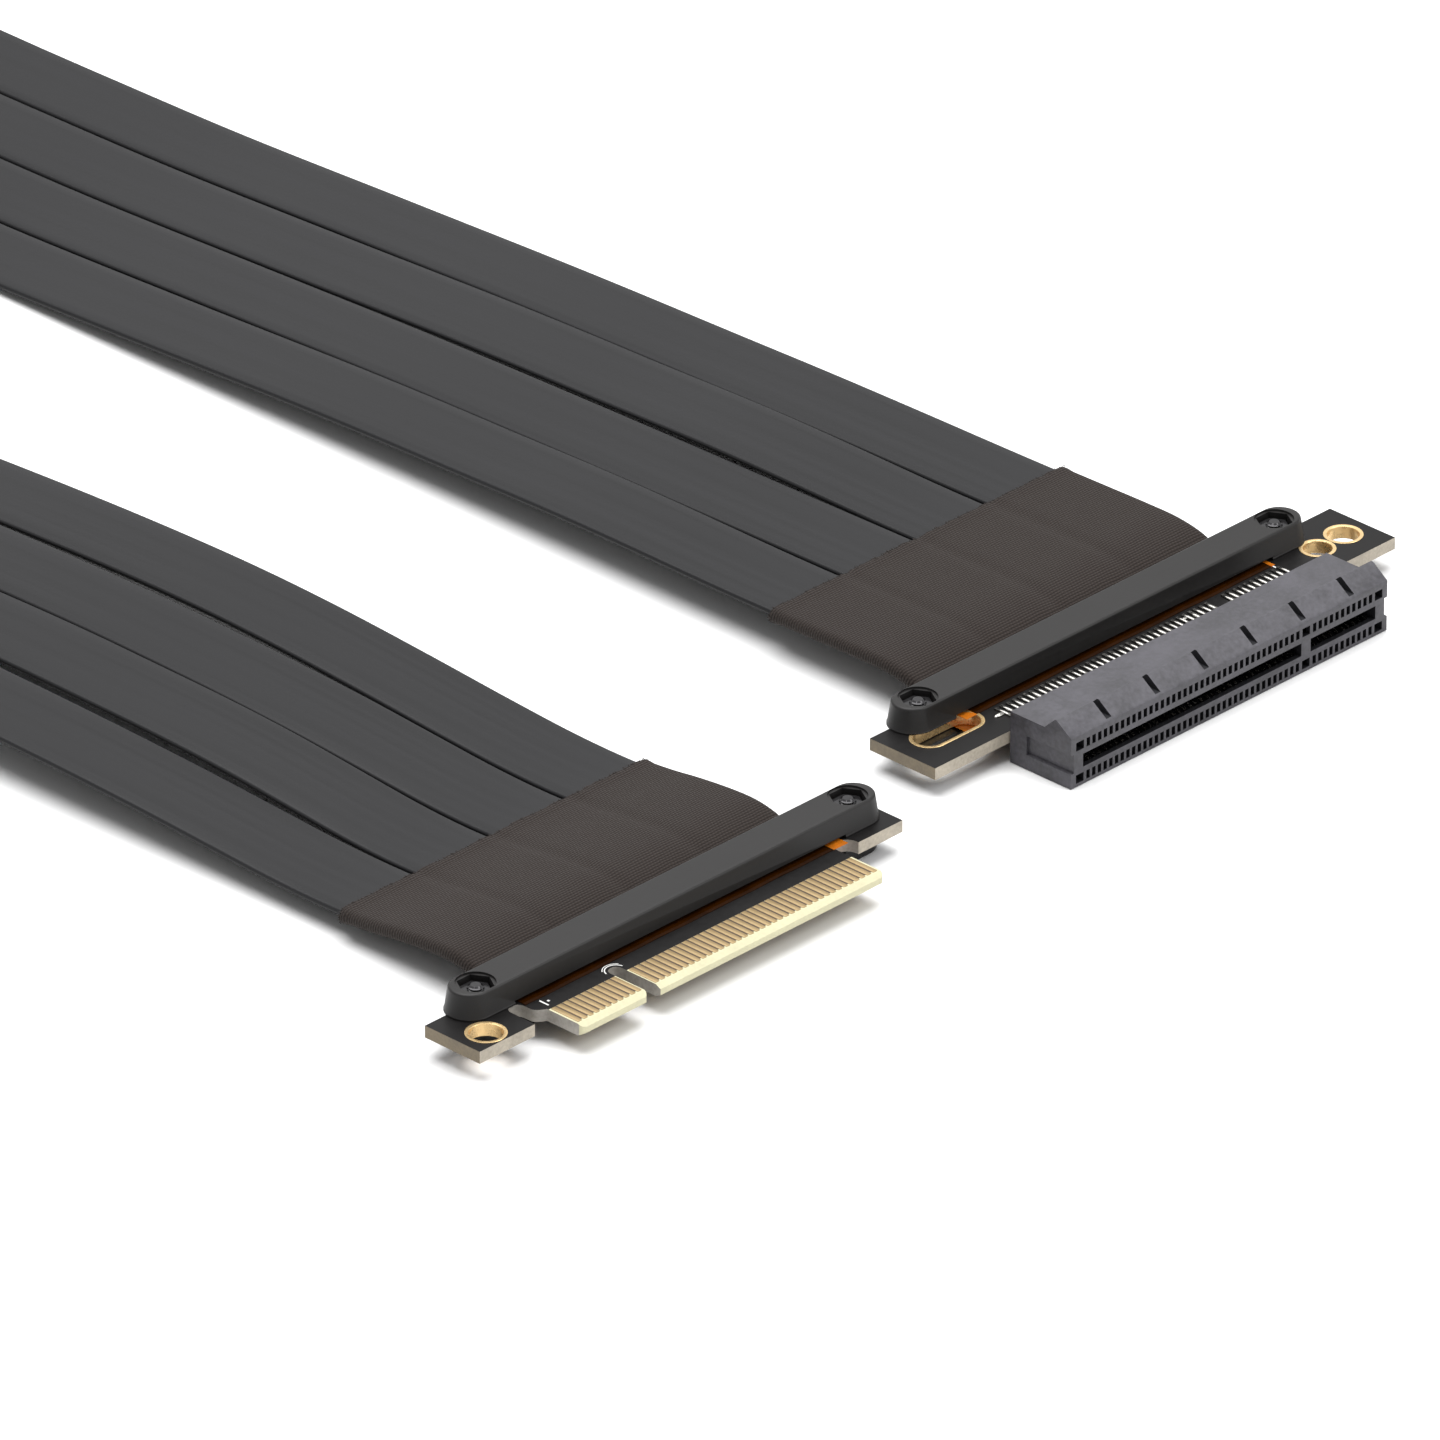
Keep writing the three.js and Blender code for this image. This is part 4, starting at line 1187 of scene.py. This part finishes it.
class RISER_OT_films(bpy.types.Operator):
    """Amber film over the solder joints in front of each clamp"""

    bl_idname = "riser.films"
    bl_label = "Films"

    def execute(self, context):
        for seed, (end, site) in enumerate(SITES.items()):
            front = site["back"] - CLAMP_SETBACK - 3.05 - 1.1
            for word, sign in (("top", 1), ("bottom", -1)):
                draw = random.Random(71 + seed + sign)
                bm = bmesh.new()
                made = bmesh.ops.create_grid(bm, x_segments=90, y_segments=6, size=0.5)["verts"]
                bmesh.ops.scale(bm, vec=Vector((54.6, 3.2, 1.0)) * MM, verts=made)
                bmesh.ops.translate(
                    bm, vec=place(site["x"], front + 1.68, BOARD_MIDDLE + sign * 0.875),
                    verts=made,
                )
                waves = [(draw.uniform(0.2, 0.9), draw.uniform(0, 6.3)) for _ in range(4)]
                for vertex in made:
                    x = (vertex.co.x - ORIGIN.x) / MM
                    wave = sum(math.sin(rate * x + phase) for rate, phase in waves) / 4
                    vertex.co.z += sign * 0.03 * MM * wave
                    vertex.co.y += 0.05 * MM * wave
                bmesh.ops.solidify(bm, geom=bm.faces[:], thickness=0.06 * MM)
                outward(bm)
                for face in bm.faces:
                    x = (face.calc_center_median().x - ORIGIN.x) / MM
                    lit = any(low < x < high for low, high in self.lit[end])
                    face.material_index = 0 if lit else 1
                finish_piece(f"{end}_amber_film_{word}", bm, [amber_film(), dark_film()],
                             [f"{end}_tape_{word}"], 40.0)
        return {"FINISHED"}

    # Where the film spans a notch or a hole, or is lifted off the lacquer
    lit = {"male": [(50.6, 53.9)], "female": [(84.6, 86.6), (138.5, 139.1)]}


class RISER_OT_marks(bpy.types.Operator):
    """White print on the card edge: an arc at the key and a first-contact mark"""

    bl_idname = "riser.marks"
    bl_label = "Printed marks"

    def execute(self, context):
        bm = bmesh.new()
        level = BOARD_TOP + 0.02
        centre = place(11.5, 5.35, level)
        for reach, width, spread in ((1.32, 0.14, 78.0), (1.62, 0.1, 55.0)):
            ring = [bm.verts.new(centre + Vector((reach * MM, 0, 0))),
                    bm.verts.new(centre + Vector(((reach + width) * MM, 0, 0)))]
            edge = bm.edges.new(ring)
            bmesh.ops.rotate(bm, verts=ring, cent=centre,
                             matrix=Matrix.Rotation(math.radians(90 - spread), 3, "Z"))
            bmesh.ops.spin(bm, geom=[*ring, edge], cent=centre, axis=(0, 0, 1), steps=20,
                           angle=math.radians(2 * spread))
        bmesh.ops.solidify(bm, geom=bm.faces[:], thickness=0.012 * MM)
        bars = [(0.0, 0.22, 5.3, 6.8), (0.7, 1.0, 5.9, 6.2), (138.9, 139.12, 17.3, 18.3)]
        for x0, x1, y0, y1 in bars:
            low, high = place(x0, y0, BOARD_TOP), place(x1, y1, BOARD_TOP + 0.02)
            made = bmesh.ops.create_cube(bm, size=1.0)["verts"]
            bmesh.ops.scale(bm, vec=high - low, verts=made)
            bmesh.ops.translate(bm, vec=(low + high) / 2, verts=made)
        outward(bm)
        finish_piece("printed_marks", bm, [white_print()], (), 40.0)
        return {"FINISHED"}


class RISER_OT_wires(bpy.types.Operator):
    """Finish of the conductors behind the boards"""

    bl_idname = "riser.wires"
    bl_label = "Wires"

    def execute(self, context):
        for end in SITES:
            for word in ("top", "bottom"):
                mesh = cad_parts[f"{end}_wires_{word}"].data
                mesh.materials.clear()
                mesh.materials.append(tinned_lead())
        return {"FINISHED"}


def area_lamp(name, spot, aim, size, power):
    data = bpy.data.lights.new(name, "AREA")
    data.shape = "SQUARE"
    data.size = size
    data.energy = power
    lamp = bpy.data.objects.new(name, data)
    bpy.context.scene.collection.objects.link(lamp)
    lamp.location = spot
    lamp.rotation_euler = (Vector(aim) - Vector(spot)).to_track_quat("-Z", "Y").to_euler()


def floor_material():
    material, tree, shader = new_material("pale_floor", 0.75)
    shader.inputs["Base Color"].default_value = (*colours().floor, 1.0)
    shader.inputs["Specular IOR Level"].default_value = 0.1
    return material


class RISER_OT_stage(bpy.types.Operator):
    """Camera, floor, lamps and background"""

    bl_idname = "riser.stage"
    bl_label = "Stage"

    def execute(self, context):
        scene = context.scene
        scene.view_settings.view_transform = "Standard"
        azimuth, elevation, distance = math.radians(46.0), math.radians(28.6), 2.5
        target = place(64.2, 39.3, BOARD_TOP)
        look = Vector((math.sin(azimuth) * math.cos(elevation),
                       math.cos(azimuth) * math.cos(elevation), -math.sin(elevation)))
        data = bpy.data.cameras.new("camera")
        data.lens = 521.0
        data.sensor_width = 36.0
        data.clip_end = 20.0
        camera = bpy.data.objects.new("camera", data)
        scene.collection.objects.link(camera)
        camera.location = target - look * distance
        camera.rotation_euler = look.to_track_quat("-Z", "Y").to_euler()
        scene.camera = camera

        bm = bmesh.new()
        bmesh.ops.create_grid(bm, x_segments=1, y_segments=1, size=4.0)
        mesh = bpy.data.meshes.new("floor")
        bm.to_mesh(mesh)
        bm.free()
        mesh.materials.append(floor_material())
        floor = bpy.data.objects.new("floor", mesh)
        scene.collection.objects.link(floor)

        area_lamp("key", (0.1, 0.3, 1.4), (0.0, 0.05, 0.0), 1.5, 34.0)
        area_lamp("fill", (0.9, -1.5, 1.5), (0.0, 0.0, 0.0), 1.2, 20.0)
        self.background(scene)
        return {"FINISHED"}

    def background(self, scene):
        world = bpy.data.worlds.new("white_room")
        world.use_nodes = True
        tree = world.node_tree
        tree.nodes.clear()
        paths = tree.nodes.new("ShaderNodeLightPath")
        seen = maths(tree, "MAXIMUM", paths.outputs["Is Camera Ray"], paths.outputs["Is Glossy Ray"])
        seen = maths(tree, "MAXIMUM", seen, paths.outputs["Is Transmission Ray"])
        light = tree.nodes.new("ShaderNodeBackground")
        light.inputs["Strength"].default_value = 0.4
        shown = tree.nodes.new("ShaderNodeBackground")
        shown.inputs["Strength"].default_value = 1.0
        for node in (light, shown):
            node.inputs["Color"].default_value = (1.0, 1.0, 1.0, 1.0)
        mix = tree.nodes.new("ShaderNodeMixShader")
        tree.links.new(seen, mix.inputs["Fac"])
        tree.links.new(light.outputs[0], mix.inputs[1])
        tree.links.new(shown.outputs[0], mix.inputs[2])
        leave = tree.nodes.new("ShaderNodeOutputWorld")
        tree.links.new(mix.outputs[0], leave.inputs["Surface"])
        scene.world = world


STEPS = [
    RISER_OT_stage, RISER_OT_ribbons, RISER_OT_sleeves, RISER_OT_clamps, RISER_OT_fasteners,
    RISER_OT_boards, RISER_OT_fingers, RISER_OT_plated_holes, RISER_OT_housing, RISER_OT_leads,
    RISER_OT_films, RISER_OT_marks, RISER_OT_wires,
]


class RISER_PT_panel(bpy.types.Panel):
    """Lists the steps, sizes and colours"""

    bl_idname = "RISER_PT_panel"
    bl_label = "Riser cable"
    bl_space_type = "VIEW_3D"
    bl_region_type = "UI"
    bl_category = "Riser"

    def draw(self, context):
        for step in STEPS:
            self.layout.operator(step.bl_idname)
        for group in (context.scene.riser_sizes, context.scene.riser_colours):
            for name in group.bl_rna.properties.keys():
                if name not in ("rna_type", "name"):
                    self.layout.prop(group, name)


CLASSES = [RiserSizes, RiserColours, *STEPS, RISER_PT_panel]


def register():
    for item in CLASSES:
        bpy.utils.register_class(item)
    bpy.types.Scene.riser_sizes = PointerProperty(type=RiserSizes)
    bpy.types.Scene.riser_colours = PointerProperty(type=RiserColours)


def unregister():
    del bpy.types.Scene.riser_colours
    del bpy.types.Scene.riser_sizes
    for item in reversed(CLASSES):
        bpy.utils.unregister_class(item)


def main():
    register()
    for step in STEPS:
        group, name = step.bl_idname.split(".")
        getattr(getattr(bpy.ops, group), name)()


if __name__ == "__main__":
    main()
